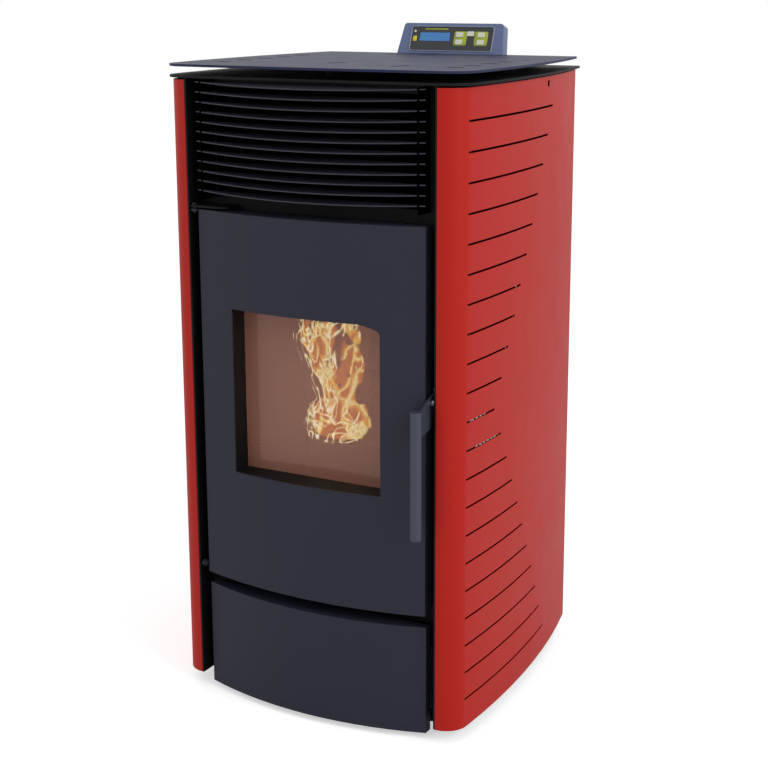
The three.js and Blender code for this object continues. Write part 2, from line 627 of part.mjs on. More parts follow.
/** The hopper lid: the slotted upper plate with the moving knuckles of its two hinges. */
function lid() {
  const plate = raise(plateOutline(LID_BACK_Y), lidZ, lidZ + PLATE_THICKNESS);
  const slots = LID_LOOSE_SLOTS.map(lidSlot);
  for (let i = 0; i < LID_SIDE_SLOTS.count; i++) {
    const y = LID_SIDE_SLOTS.firstY + LID_SIDE_SLOTS.pitch * i;
    for (const side of [-1, 1]) {
      slots.push(lidSlot({ x: side * LID_SIDE_SLOTS.x, y, length: LID_SIDE_SLOTS.length, turn: 0 }));
    }
  }
  const knuckles = [];
  const bores = [];
  for (const side of [-1, 1]) {
    for (const end of [-1, 1]) {
      const middle = side * LID_HINGE.x + end * knuckleThird;
      const x0 = middle - knuckleThird / 2;
      knuckles.push(bar("x", [x0, lidHingeY, lidHingeZ], LID_HINGE.knuckleR, knuckleThird, 16));
      knuckles.push(
        box([x0, x0 + knuckleThird], [LID_BACK_Y - 4, lidHingeY], [lidZ + 1, lidZ + PLATE_THICKNESS - 1]),
      );
      bores.push(bar("x", [x0 - 1, lidHingeY, lidHingeZ], LID_HINGE.pinR + GAP, knuckleThird + 2, 16));
    }
  }
  return cut(join(plate, ...knuckles), ...slots, ...bores);
}

piece("top_lid", "topPaint", lid());

/** The fixed half of a lid hinge: leaf, middle knuckle and pin. */
function lidHinge(x) {
  const half = LID_HINGE.length / 2;
  const leafZ = topPlateZ + PLATE_THICKNESS + GAP;
  const middle = knuckleThird / 2 - GAP;
  return join(
    bar("x", [x - half, lidHingeY, lidHingeZ], LID_HINGE.pinR, 2 * half, 16),
    bar("x", [x - middle, lidHingeY, lidHingeZ], LID_HINGE.knuckleR, 2 * middle, 16),
    box([x - middle, x + middle], [lidHingeY, lidHingeY + LID_HINGE.knuckleR], [leafZ, lidHingeZ]),
    box([x - half, x + half], [lidHingeY, lidHingeY + LID_HINGE.leafDepth], [leafZ, leafZ + LID_HINGE.leaf]),
  );
}

piece("lid_hinge_left", "blackPaint", lidHinge(-LID_HINGE.x));
piece("lid_hinge_right", "blackPaint", lidHinge(LID_HINGE.x));

const bumperFoot = [0, BUMPER.y, topPlateZ + PLATE_THICKNESS + GAP];
piece("lid_bumper", "blackRubber", bar("z", bumperFoot, BUMPER.r, PLATE_SPACING - 2 * GAP, 16));

// ---------------------------------------------------------------- door

const doorBow = bow(DOOR_BOW_R, DOOR_FRONT_Y, DOOR_HALF_WIDTH, 14);
const doorEdgeY = doorBow[0][1];
const doorReturnY = doorEdgeY + DOOR_RETURN;

/** The louvre grille: blades with the door's bow in front and a straight back, welded to two posts. */
function louvreGrille() {
  const { sheet, slope, post, postX } = LOUVRE;
  const fall = Math.tan(rad(slope));
  const blade = geometryOf(raise(doorBow, -sheet, 0)).applyMatrix4(
    new THREE.Matrix4().set(1, 0, 0, 0, 0, 1, 0, 0, 0, fall, 1, -fall * doorEdgeY, 0, 0, 0, 1),
  );
  const blades = Array.from({ length: LOUVRE_COUNT }, (_, i) =>
    solid(blade.clone().translate(0, 0, casingTop - LOUVRE_TOP - LOUVRE_PITCH * i)),
  );
  const footZ = casingTop - LOUVRE_TOP - LOUVRE_PITCH * LOUVRE_COUNT;
  const right = box([postX, postX + post], [doorEdgeY - 1.5, FRAME_FRONT_Y - GAP], [footZ, casingTop]);
  return join(right, right.mirror([1, 0, 0]), ...blades);
}

piece("louvre_grille", "anthracitePaint", louvreGrille());

const windowOutline = [
  [-WINDOW_HALF_WIDTH, windowZ],
  [WINDOW_HALF_WIDTH, windowZ],
  ...WINDOW_CORNER.map(([inset, drop]) => [WINDOW_HALF_WIDTH - inset, windowTop - drop]),
  [-WINDOW_HALF_WIDTH, windowTop],
];

/** A hinge eye that reaches from the door's edge round the pin. */
function doorLug(z) {
  const eye = bar("z", [HINGE_X, HINGE_Y, z], HINGE_EYE_R, HINGE_LEAF, 20);
  const arm = box(
    [HINGE_X, -DOOR_HALF_WIDTH + DOOR_SHEET],
    [HINGE_Y + 2, HINGE_Y + HINGE_EYE_R],
    [z, z + HINGE_LEAF],
  );
  return join(eye, arm);
}

const topLugZ = doorTop - HINGE_LEAF;
const bottomLugZ = doorZ + BOTTOM_LUG_LIFT;
const pinHole = bar("z", [HINGE_X, HINGE_Y, doorZ - 20], HINGE_PIN_R + GAP, DOOR_HEIGHT + 60, 16);

/** The bowed outer door panel, folded back at its four edges, with the window and hinge eyes. */
function doorSkin() {
  const path = [[-DOOR_HALF_WIDTH, doorReturnY], ...doorBow, [DOOR_HALF_WIDTH, doorReturnY]];
  const sheet = raise(sheetOutline(path, DOOR_SHEET), doorZ, doorTop);
  const flangePlan = [...doorBow, [DOOR_HALF_WIDTH, DOOR_PLATE.y], [-DOOR_HALF_WIDTH, DOOR_PLATE.y]];
  const flanges = [doorZ, doorTop - DOOR_SHEET].map((z) => raise(flangePlan, z, z + DOOR_SHEET));
  const window = deep(windowOutline, DOOR_FRONT_Y - 1, DOOR_PLATE.y);
  const bolt = bar(
    "x",
    [DOOR_HALF_WIDTH - 10, HANDLE_PIVOT.y, doorZ + HANDLE_PIVOT.z],
    HANDLE_PIVOT.boltR + GAP,
    20,
    16,
  );
  return cut(join(sheet, ...flanges, doorLug(topLugZ), doorLug(bottomLugZ)), window, bolt, pinHole);
}

piece("door_skin", "anthracitePaint", doorSkin());

/** The inner door frame: back plate and the deep window reveal that meets the bowed panel. */
function doorFrame() {
  const inner = DOOR_HALF_WIDTH - DOOR_SHEET - GAP;
  const { y, margin } = DOOR_PLATE;
  const plate = box([-inner, inner], [y, plateBackY], [doorZ + margin, doorTop - margin]);
  const reveal = box(
    [-WINDOW_HALF_WIDTH - TUNNEL_WALL, WINDOW_HALF_WIDTH + TUNNEL_WALL],
    [DOOR_FRONT_Y, plateBackY],
    [windowZ - TUNNEL_WALL, windowTop + TUNNEL_WALL],
  );
  const behindSkin = DOOR_BOW_R - DOOR_SHEET - GAP;
  const skinBack = bow(behindSkin, DOOR_FRONT_Y + DOOR_SHEET + GAP, DOOR_HALF_WIDTH, 14);
  const inFront = [
    ...skinBack,
    [DOOR_HALF_WIDTH, DOOR_FRONT_Y - 10],
    [-DOOR_HALF_WIDTH, DOOR_FRONT_Y - 10],
  ].reverse();
  const skinSpace = raise(inFront, windowZ - 10, windowTop + 10);
  const window = deep(windowOutline, DOOR_FRONT_Y - 20, plateBackY + 1);
  return cut(join(plate, cut(reveal, skinSpace)), window);
}

piece("door_frame", "blackPaint", doorFrame());

const glassHalfWidth = WINDOW_HALF_WIDTH + GLASS.lap;
piece(
  "window_glass",
  "ceramicGlass",
  box(
    [-glassHalfWidth, glassHalfWidth],
    [glassY, glassY + GLASS.thickness],
    [windowZ - GLASS.lap, windowTop + GLASS.lap],
  ),
);

/** A clip strip along one edge of the glass, as a plan outline for the right-hand one. */
function glassClip() {
  const clear = glassHalfWidth + GAP;
  const behindGlass = glassY + GLASS.thickness + GAP;
  const outer = clear - CLIP.lap + CLIP.width;
  const plan = [
    [clear, plateBackY + GAP],
    [outer, plateBackY + GAP],
    [outer, behindGlass + CLIP.sheet],
    [clear - CLIP.lap, behindGlass + CLIP.sheet],
    [clear - CLIP.lap, behindGlass],
    [clear, behindGlass],
  ];
  return raise(plan, windowZ + CLIP.margin, windowTop - CLIP.margin);
}

const rightClip = glassClip();
piece("glass_clip_right", "zincSteel", rightClip);
piece("glass_clip_left", "zincSteel", rightClip.mirror([1, 0, 0]));

/** The rope gasket that closes the firebox mouth against the frame. */
function doorRope() {
  const ring = (grow) => {
    const x = MOUTH.halfWidth + DOOR_ROPE.margin + grow;
    const z0 = mouthZ - DOOR_ROPE.margin - grow;
    const z1 = mouthZ + MOUTH.height + DOOR_ROPE.margin + grow;
    return [[-x, z0], [x, z0], [x, z1], [-x, z1]];
  };
  const span = [plateBackY + GAP, FRAME_FRONT_Y - GAP];
  return cut(deep(ring(DOOR_ROPE.width), ...span), deep(ring(0), span[0] - 1, span[1] + 1));
}

piece("door_gasket", "ropeSeal", doorRope());

// ---------------------------------------------------------------- door hinges

/** A bracket on the front frame that carries a hinge pin under or over a door eye. */
function hingeBracket(z, reach, hang) {
  const backY = FRAME_FRONT_Y - GAP;
  const left = HINGE_X - HINGE_EYE_R;
  const right = HINGE_X + Math.max(reach, HINGE_EYE_R);
  const leaf = join(
    bar("z", [HINGE_X, HINGE_Y, z], HINGE_EYE_R, HINGE_LEAF, 20),
    box([left, HINGE_X + HINGE_EYE_R], [HINGE_Y, backY], [z, z + HINGE_LEAF]),
  );
  const foot = box([left, right], [backY - HINGE_LEAF, backY], [z - hang, z - hang + BRACKET_FOOT]);
  return cut(join(leaf, foot), bar("z", [HINGE_X, HINGE_Y, z - 1], HINGE_PIN_R + GAP, HINGE_LEAF + 2, 16));
}

/** The upper bracket's broad leaf, its front edge rounded off above the door. */
function topLeaf(z) {
  const middle = HINGE_X + TOP_BRACKET.reach / 2;
  const reach = TOP_BRACKET.reach / 2;
  const rounded = arc(middle, HINGE_Y, 1, Math.PI, 2 * Math.PI, 10).map(([x, y]) => [
    middle + (x - middle) * reach,
    HINGE_Y + (y - HINGE_Y) * TOP_BRACKET.front,
  ]);
  const backY = FRAME_FRONT_Y - GAP;
  return raise([...rounded, [middle + reach, backY], [middle - reach, backY]], z, z + HINGE_LEAF);
}

const topBracketZ = doorTop + TOP_BRACKET.lift;
const topPinHole = bar("z", [HINGE_X, HINGE_Y, topBracketZ - 1], HINGE_PIN_R + GAP, HINGE_LEAF + 2, 16);
piece(
  "hinge_bracket_top",
  "blackPaint",
  cut(
    join(hingeBracket(topBracketZ, TOP_BRACKET.reach, BRACKET_FOOT - HINGE_LEAF), topLeaf(topBracketZ)),
    topPinHole,
  ),
);
const bottomBracketZ = bottomLugZ - GAP - HINGE_LEAF;
piece("hinge_bracket_bottom", "blackPaint", hingeBracket(bottomBracketZ, 0, 0));

/** A hinge pin with a domed head on top of what it goes through. */
function hingePin(footZ, headZ) {
  return join(
    bar("z", [HINGE_X, HINGE_Y, footZ], HINGE_PIN_R, headZ - footZ + 1, 16),
    bar("z", [HINGE_X, HINGE_Y, headZ], HINGE_PIN_R + 1.5, 3, 16),
  );
}

piece("hinge_pin_top", "brightSteel", hingePin(topLugZ - 4, topBracketZ + HINGE_LEAF + GAP));
piece("hinge_pin_bottom", "brightSteel", hingePin(bottomBracketZ - 3, bottomLugZ + HINGE_LEAF + GAP));

// ---------------------------------------------------------------- handle

/** The lift handle: flat arm beside the door, latch finger behind its pivot and the bar in front. */
function doorHandle() {
  const pivotY = HANDLE_PIVOT.y;
  const pivotZ = doorZ + HANDLE_PIVOT.z;
  const barY = -HALF_DEPTH + HANDLE_BAR.r;
  const fingerY = pivotY + LATCH_FINGER;
  const fingerTop = pivotZ + CATCH_PIN.lift - CATCH_PIN.r - GAP;
  const arm = [
    [barY, pivotZ - 9],
    [barY, pivotZ - 48],
    [pivotY - 33, pivotZ - 46],
    [pivotY - 5, pivotZ - 41],
    [pivotY + 7, pivotZ - 8],
    [fingerY, pivotZ],
    [fingerY, fingerTop],
    [pivotY + 8, fingerTop - GAP],
    [pivotY - 6, pivotZ + 9],
  ];
  const plate = across(arm, HANDLE_PLATE.x, HANDLE_PLATE.x + HANDLE_PLATE.sheet);
  const barFoot = [HANDLE_BAR.x, barY, doorZ + HANDLE_BAR.top - HANDLE_BAR.length];
  const grip = bar("z", barFoot, HANDLE_BAR.r, HANDLE_BAR.length, 24);
  const holeR = HANDLE_PIVOT.boltR + GAP;
  const hole = bar("x", [HANDLE_PLATE.x - 1, pivotY, pivotZ], holeR, HANDLE_PLATE.sheet + 2, 16);
  return cut(join(plate, grip), hole);
}

piece("door_handle", "anthracitePaint", doorHandle());

/** The bolt that the handle turns on: head, shank and a nut inside the door. */
function handleBolt() {
  const { boltR, headR, headL, nutL, tip } = HANDLE_PIVOT;
  const place = (x) => [x, HANDLE_PIVOT.y, doorZ + HANDLE_PIVOT.z];
  const innerFace = DOOR_HALF_WIDTH - DOOR_SHEET;
  const headX = HANDLE_PLATE.x + HANDLE_PLATE.sheet + GAP;
  return join(
    bar("x", place(innerFace - nutL - tip), boltR, headX - innerFace + nutL + tip + 1, 16),
    bar("x", place(headX), headR, headL, 16),
    bar("x", place(innerFace - GAP - nutL), headR, nutL, 6),
    bar("x", place(DOOR_HALF_WIDTH + GAP), headR, HANDLE_PLATE.x - DOOR_HALF_WIDTH - 2 * GAP, 16),
  );
}

piece("handle_bolt", "brightSteel", handleBolt());

/** The latch catch: a pin over the handle's finger, carried by a block on the frame. */
function latchCatch() {
  const { y, r, lift, x } = CATCH_PIN;
  const z = doorZ + HANDLE_PIVOT.z + lift;
  const right = PANEL_INNER_X - 2 * GAP - FRAME_SHEET;
  return join(
    bar("x", [x, y, z], r, right - x, 16),
    box(
      [CATCH_BLOCK.x, right],
      [CATCH_BLOCK.frontY, FRAME_FRONT_Y - GAP],
      [z - r, z - r + CATCH_BLOCK.height],
    ),
  );
}

piece("latch_catch_pin", "brightSteel", latchCatch());

// ---------------------------------------------------------------- ash drawer

const drawerFrontZ = casingBottom + DRAWER_FRONT_BOTTOM;
const drawerFrontTop = drawerFrontZ + DRAWER_FRONT_HEIGHT;

/** The bowed drawer front, folded back at its four edges. */
function ashFront() {
  const face = bow(DRAWER_BOW_R, DRAWER_FRONT_Y, DRAWER_FRONT_HALF_WIDTH, 14);
  const returnY = face[0][1] + DRAWER_RETURN;
  const path = [[-DRAWER_FRONT_HALF_WIDTH, returnY], ...face, [DRAWER_FRONT_HALF_WIDTH, returnY]];
  const sheet = raise(sheetOutline(path, DOOR_SHEET), drawerFrontZ, drawerFrontTop);
  const plan = [...face, [DRAWER_FRONT_HALF_WIDTH, returnY - 4], [-DRAWER_FRONT_HALF_WIDTH, returnY - 4]];
  const flanges = [drawerFrontZ, drawerFrontTop - DOOR_SHEET].map((z) => raise(plan, z, z + DOOR_SHEET));
  return join(sheet, ...flanges);
}

piece("ash_front", "anthracitePaint", ashFront());

/** The ash drawer: open box with rolled side lips and a broad front plate behind the bowed front. */
function ashDrawer() {
  const { halfWidth, height, sheet, backY, lip } = DRAWER;
  const face = bow(DRAWER_BOW_R, DRAWER_FRONT_Y, DRAWER_FRONT_HALF_WIDTH, 14);
  const returnY = face[0][1] + DRAWER_RETURN;
  const frontY = FRAME_FRONT_Y - GAP - 4;
  const z0 = casingBottom + DRAWER.bottom;
  const outer = box([-halfWidth, halfWidth], [frontY, backY], [z0, z0 + height]);
  const inner = box(
    [-halfWidth + sheet, halfWidth - sheet],
    [frontY + sheet, backY - sheet],
    [z0 + sheet, z0 + height + 1],
  );
  const plateHalf = DRAWER_FRONT_HALF_WIDTH - DOOR_SHEET - GAP;
  const plate = box([-plateHalf, plateHalf], [returnY - 3, frontY + sheet], [z0 - 12, z0 + height + 6]);
  const lips = [-1, 1].map((side) => {
    const xs = [side * (halfWidth - 0.5), side * (halfWidth + lip)].sort((a, b) => a - b);
    return box(xs, [FRAME_FRONT_Y + 20, backY], [z0 + height - 3, z0 + height]);
  });
  return join(cut(outer, inner), plate, ...lips);
}

piece("ash_drawer", "zincSteel", ashDrawer());

/** A drawer runner on the base: an angle whose upper edge carries the drawer's lip. */
function drawerRunner() {
  const { halfWidth, height, lip, bottom, backY } = DRAWER;
  const lipUnderside = casingBottom + bottom + height - 3 - GAP;
  const x0 = halfWidth + lip / 2;
  const span = [frameBackY + GAP, backY + 4];
  const web = box([x0, x0 + RUNNER.sheet], span, [baseTop + GAP, lipUnderside]);
  const flange = box([x0, x0 + RUNNER.flange], span, [baseTop + GAP, baseTop + GAP + RUNNER.sheet]);
  return join(web, flange);
}

const rightRunner = drawerRunner();
piece("drawer_runner_right", "zincSteel", rightRunner);
piece("drawer_runner_left", "zincSteel", rightRunner.mirror([1, 0, 0]));

// ---------------------------------------------------------------- hopper and auger

/** Turns a solid made along +Z at the origin onto the auger's sloping axis. */
function onAuger(manifold) {
  const geometry = geometryOf(manifold);
  geometry.rotateX(rad(90 - AUGER.tilt)).translate(0, AUGER.y, AUGER.z);
  return solid(geometry);
}

const tubeR = AUGER.boreR + AUGER.wall;

/** The space that the auger tube takes, with all that lies under (-1) or over (+1) its axis. */
function tubeSpace(side) {
  const reach = tubeR + GAP;
  const ys = side > 0 ? [0, 3 * reach] : [-3 * reach, 0];
  return onAuger(
    join(
      bar("z", [0, 0, -AUGER.half - 40], reach, 2 * AUGER.half + 80, 24),
      box([-reach - 2, reach + 2], ys, [-AUGER.half - 40, AUGER.half + 40]),
    ),
  );
}

/** The pellet hopper: straight above, tapered below, with a throat on the auger tube. */
function hopper() {
  const { halfWidth, frontY, backY, sheet, taperZ, throatZ, flange } = HOPPER;
  const rect = (grow) => [-halfWidth - grow, halfWidth + grow, frontY - grow, backY + grow];
  const neck = (grow) => [
    -THROAT.halfWidth - grow,
    THROAT.halfWidth + grow,
    THROAT.frontY - grow,
    THROAT.backY + grow,
  ];
  const footZ = AUGER.z - 90;
  const outer = join(
    taper(rect(sheet), rect(sheet), taperZ, underTop),
    taper(neck(sheet), rect(sheet), throatZ, taperZ + 0.01),
    taper(neck(sheet), neck(sheet), footZ, throatZ + 0.01),
    taper(rect(flange), rect(flange), underTop - sheet, underTop),
  );
  const inner = join(
    taper(rect(0), rect(0), taperZ, underTop + 1),
    taper(neck(0), rect(0), throatZ, taperZ + 0.01),
    taper(neck(0), neck(0), footZ - 1, throatZ + 0.01),
  );
  return cut(outer, inner, tubeSpace(-1));
}

piece("hopper", "zincSteel", hopper());

/** The guard in the hopper's mouth that keeps hands from the auger. */
function hopperGuard() {
  const { halfWidth, frontY, backY } = HOPPER;
  const z = underTop - GUARD.drop;
  const x = halfWidth - GAP;
  const y0 = frontY + GAP;
  const y1 = backY - GAP;
  const rim = 6;
  const frame = cut(
    box([-x, x], [y0, y1], [z, z + 2 * GUARD.barR]),
    box([-x + rim, x - rim], [y0 + rim, y1 - rim], [z - 1, z + 2 * GUARD.barR + 1]),
  );
  const pitch = (2 * x) / (GUARD.bars + 1);
  const bars = Array.from({ length: GUARD.bars }, (_, i) => {
    const middle = -x + pitch * (i + 1);
    const xs = [middle - GUARD.barR, middle + GUARD.barR];
    return box(xs, [y0 + rim / 2, y1 - rim / 2], [z, z + 2 * GUARD.barR]);
  });
  return join(frame, ...bars);
}

piece("hopper_guard", "zincSteel", hopperGuard());

/** The auger tube: inlet under the hopper, outlet over the chute, a bearing end and a motor flange. */
function augerTube() {
  const { half, boreR, shaftR, wall } = AUGER;
  const bore = bar("z", [0, 0, -half + wall], boreR, 2 * half - 2 * wall, 24);
  const tube = join(
    bar("z", [0, 0, -half], tubeR, 2 * half, 24),
    box(
      [-GEARBOX.width / 2, GEARBOX.width / 2],
      [-GEARBOX.depth / 2, GEARBOX.depth / 2],
      [-half, -half + wall],
    ),
  );
  const shaft = bar("z", [0, 0, -half - 1], shaftR + GAP, 2 * half + 2, 16);
  const xs = [-TUBE_MOUTH.halfWidth, TUBE_MOUTH.halfWidth];
  const inlet = box(xs, [0, tubeR + 1], TUBE_MOUTH.inlet);
  const outlet = box(xs, [-tubeR - 1, 0], TUBE_MOUTH.outlet);
  return onAuger(cut(tube, bore, shaft, inlet, outlet));
}

piece("auger_tube", "zincSteel", augerTube());

/** The auger screw: a helical flight welded on a shaft. */
function augerScrew() {
  const { half, flightR, shaftR, wall } = AUGER;
  const steps = Math.round(FLIGHT.turns * 12);
  const run = FLIGHT.pitch * FLIGHT.turns;
  const inner = shaftR - 1.5;
  const points = [];
  for (let i = 0; i <= steps; i++) {
    const angle = (2 * Math.PI * FLIGHT.turns * i) / steps;
    const z = -run / 2 + (run * i) / steps;
    const c = Math.cos(angle);
    const s = Math.sin(angle);
    for (const [r, dz] of [[inner, 0], [flightR, 0], [flightR, FLIGHT.sheet], [inner, FLIGHT.sheet]]) {
      points.push(r * c, r * s, z + dz - FLIGHT.sheet / 2);
    }
  }
  const index = [0, 1, 2, 0, 2, 3];
  for (let i = 0; i < steps; i++) {
    for (let k = 0; k < 4; k++) {
      const a = i * 4 + k;
      const b = i * 4 + ((k + 1) % 4);
      index.push(a, a + 4, b, b, a + 4, b + 4);
    }
  }
  const last = steps * 4;
  index.push(last, last + 2, last + 1, last, last + 3, last + 2);
  const flight = new THREE.BufferGeometry();
  flight.setAttribute("position", new THREE.BufferAttribute(new Float32Array(points), 3));
  flight.setIndex(index);
  const ribbon = solid(flight);
  const shaft = bar("z", [0, 0, -half - 18], shaftR, 2 * half + 18 - wall / 4, 16);
  return onAuger(join(shaft, ribbon));
}

piece("auger_screw", "brightSteel", augerScrew());

/** The auger's gear motor on the tube's lower flange. */
function augerMotor() {
  const top = -AUGER.half - GAP;
  const gearbox = box(
    [-GEARBOX.width / 2, GEARBOX.width / 2],
    [-GEARBOX.depth / 2, GEARBOX.depth / 2],
    [top - GEARBOX.length, top],
  );
  const motorFoot = [0, 0, top - GEARBOX.length - GEARBOX.motorL];
  const motor = bar("z", motorFoot, GEARBOX.motorR, GEARBOX.motorL + 1, 20);
  const socket = bar("z", [0, 0, top - GEARBOX.socketL], AUGER.shaftR + GAP, GEARBOX.socketL + 8, 16);
  return onAuger(cut(join(gearbox, motor), socket));
}

piece("auger_motor", "blackPlastic", augerMotor());

/** The drop chute from the auger's outlet through the firebox's back. */
function dropChute() {
  return cut(chuteAt(0, 0), chuteAt(-CHUTE.sheet, 5), tubeSpace(1));
}

piece("drop_chute", "zincSteel", dropChute());

// ---------------------------------------------------------------- exhaust fan, flue and air intake

/** The exhaust fan's casing: drum, side duct to the flue and the collar on the firebox. */
function exhaustHousing() {
  const { x, z, r, frontY, backY, wall, inletR } = EXHAUST;
  const depth = backY - frontY;
  const ductRight = FLUE.x + FLUE.r + 8;
  const duct = (inset) =>
    box(
      [x, ductRight - inset],
      [frontY + inset, backY - inset],
      [z - r + inset, FLUE.z + FLUE.r + 4 - inset],
    );
  const collarStart = FIREBOX.backY + GAP;
  const outer = join(
    bar("y", [x, frontY, z], r, depth, 32),
    duct(0),
    bar("y", [x, collarStart, z], inletR + wall, frontY - collarStart + 1, 24),
  );
  const inner = join(
    bar("y", [x, frontY + wall, z], r - wall, depth - 2 * wall, 32),
    duct(wall),
    bar("y", [x, collarStart - 1, z], inletR, frontY - collarStart + wall + 2, 24),
    bar("y", [x, backY - wall - 1, z], EXHAUST_MOTOR.shaftR + GAP, wall + 2, 16),
    bar("y", [FLUE.x, backY - wall - 1, FLUE.z], FLUE.r - FLUE.wall, wall + 2, 24),
  );
  return cut(outer, inner);
}

piece("exhaust_fan_housing", "zincSteel", exhaustHousing());

/** The exhaust impeller: back disc, hub and straight blades. */
function exhaustImpeller() {
  const { x, z, frontY, backY, wall, impellerR } = EXHAUST;
  const discY = backY - wall - 6;
  const bladeL = discY - frontY - wall - 6;
  const blades = Array.from({ length: 8 }, (_, i) => {
    const blade = boxGeometry([20, impellerR - 2], [-bladeL, 1], [-1, 1]);
    return solid(blade.rotateY((Math.PI / 4) * i).translate(x, discY, z));
  });
  const socket = bar("y", [x, discY - 22, z], EXHAUST_MOTOR.shaftR + GAP, 40, 16);
  return cut(
    join(
      bar("y", [x, discY, z], impellerR, 2.5, 32),
      bar("y", [x, discY - 26, z], 22, 28, 16),
      ...blades,
    ),
    socket,
  );
}

piece("exhaust_fan_impeller", "brightSteel", exhaustImpeller());

piece(
  "exhaust_fan_motor",
  "blackPlastic",
  join(
    bar("y", [EXHAUST.x, EXHAUST.backY + GAP, EXHAUST.z], EXHAUST_MOTOR.r, EXHAUST_MOTOR.length, 24),
    bar("y", [EXHAUST.x, EXHAUST.backY - 28, EXHAUST.z], EXHAUST_MOTOR.shaftR, 30, 16),
  ),
);

/** An open pipe along Y, with a raised bead near its rear end. */
function pipe({ x, z, r, wall }, frontY, backY) {
  const body = join(
    bar("y", [x, frontY, z], r, backY - frontY, 24),
    bar("y", [x, PANEL_BACK_Y + GAP, z], r + 4, 2, 24),
  );
  return cut(body, bar("y", [x, frontY - 1, z], r - wall, backY - frontY + 2, 24));
}

piece("flue_spigot", "blackPaint", pipe(FLUE, EXHAUST.backY + GAP, HALF_DEPTH));
piece("air_intake_pipe", "zincSteel", pipe(INTAKE, FIREBOX.backY + GAP, PANEL_BACK_Y + INTAKE.rearReach));

// ---------------------------------------------------------------- room-air fan

/** The cross-flow fan's scroll: a wall part of the way round, and two ends that stand on the base. */
function roomFanHousing() {
  const { y, z, half, shellR, wall, shaftR } = ROOM_FAN;
  const path = arc(y, z, shellR, rad(-60), rad(165), 12);
  const shell = across(sheetOutline(path, -wall).reverse(), -half - wall / 2, half + wall / 2);
  const ends = [-1, 1].map((side) => {
    const xs = [side * half, side * (half + wall)].sort((a, b) => a - b);
    return box(xs, [y - shellR - wall, y + shellR + wall], [baseTop + GAP, z + shellR + wall]);
  });
  const shaft = bar("x", [-half - wall - 1, y, z], shaftR + GAP, 2 * (half + wall) + 2, 16);
  return cut(join(shell, ...ends), shaft);
}

piece("room_fan_housing", "zincSteel", roomFanHousing());

/** The cross-flow rotor: end discs, a ring of blades and the shaft. */
function roomFanRotor() {
  const { y, z, half, rotorR, blades, shaftR, wall } = ROOM_FAN;
  const end = half - 3;
  const discs = [-end, -1, end - 2].map((x) => bar("x", [x, y, z], rotorR, 2, 20));
  const vanes = Array.from({ length: blades }, (_, i) => {
    const vane = boxGeometry([-end, end], [-1, 1], [rotorR - 8, rotorR - 1]);
    return solid(vane.rotateX((2 * Math.PI * i) / blades).translate(0, y, z));
  });
  const shaft = bar("x", [-half - wall - 8, y, z], shaftR, 2 * (half + wall) + 24, 16);
  return join(shaft, ...discs, ...vanes);
}

piece("room_fan_rotor", "brightSteel", roomFanRotor());

/** The room fan's motor, round the shaft's right end on the housing's end plate. */
function roomFanMotor() {
  const { y, z, half, wall, shaftR } = ROOM_FAN;
  const x = half + wall + GAP;
  const body = join(
    bar("x", [x, y, z], ROOM_MOTOR.r, ROOM_MOTOR.length, 20),
    box([x, x + ROOM_MOTOR.length - 10], [y - 18, y + 18], [baseTop + GAP, z]),
  );
  return cut(body, bar("x", [x - 1, y, z], shaftR + GAP, ROOM_MOTOR.length - 4, 16));
}

piece("room_fan_motor", "blackPlastic", roomFanMotor());

// ---------------------------------------------------------------- rear panel and mains inlet

const inletPocket = (grow) =>
  [
    [INLET.x - INLET.width / 2 - grow, INLET.x + INLET.width / 2 + grow],
    [INLET.z - INLET.height / 2 - grow, INLET.z + INLET.height / 2 + grow],
  ];

/** The rear panel, with holes for the flue, the air intake, the mains inlet and the room air. */
function rearPanel() {
  const halfWidth = sideX(PANEL_BACK_Y, PANEL_SHEET + BOW_GAP);
  const blank = box([-halfWidth, halfWidth], [rearPanelY, PANEL_BACK_Y], [casingBottom, underTop]);
  const through = [rearPanelY - 1, PANEL_BACK_Y + 1];
  const [xs, zs] = inletPocket(GAP);
  const holes = [
    bar("y", [FLUE.x, through[0], FLUE.z], FLUE.r + GAP, PANEL_SHEET + 2, 32),
    bar("y", [INTAKE.x, through[0], INTAKE.z], INTAKE.r + GAP, PANEL_SHEET + 2, 32),
    box(xs, through, zs),
  ];
  for (let i = 0; i < VENT.count; i++) {
    const z = casingBottom + VENT.bottom + VENT.pitch * i;
    holes.push(box([-VENT.halfWidth - 20, VENT.halfWidth - 20], through, [z, z + VENT.height]));
  }
  return cut(blank, ...holes);
}

piece("rear_panel", "blackPaint", rearPanel());

const rockerZ = INLET.z + ROCKER.lift;
const rockerY = PANEL_BACK_Y + INLET.plate - 1;

/** The rocker's cross axle, or its bearing when grown, standing out past the rocker at each end. */
function rockerAxle(grow, end) {
  const foot = [INLET.x - ROCKER.width / 2 - end, rockerY, rockerZ];
  return bar("x", foot, ROCKER_AXLE.r + grow, ROCKER.width + 2 * end, 12);
}

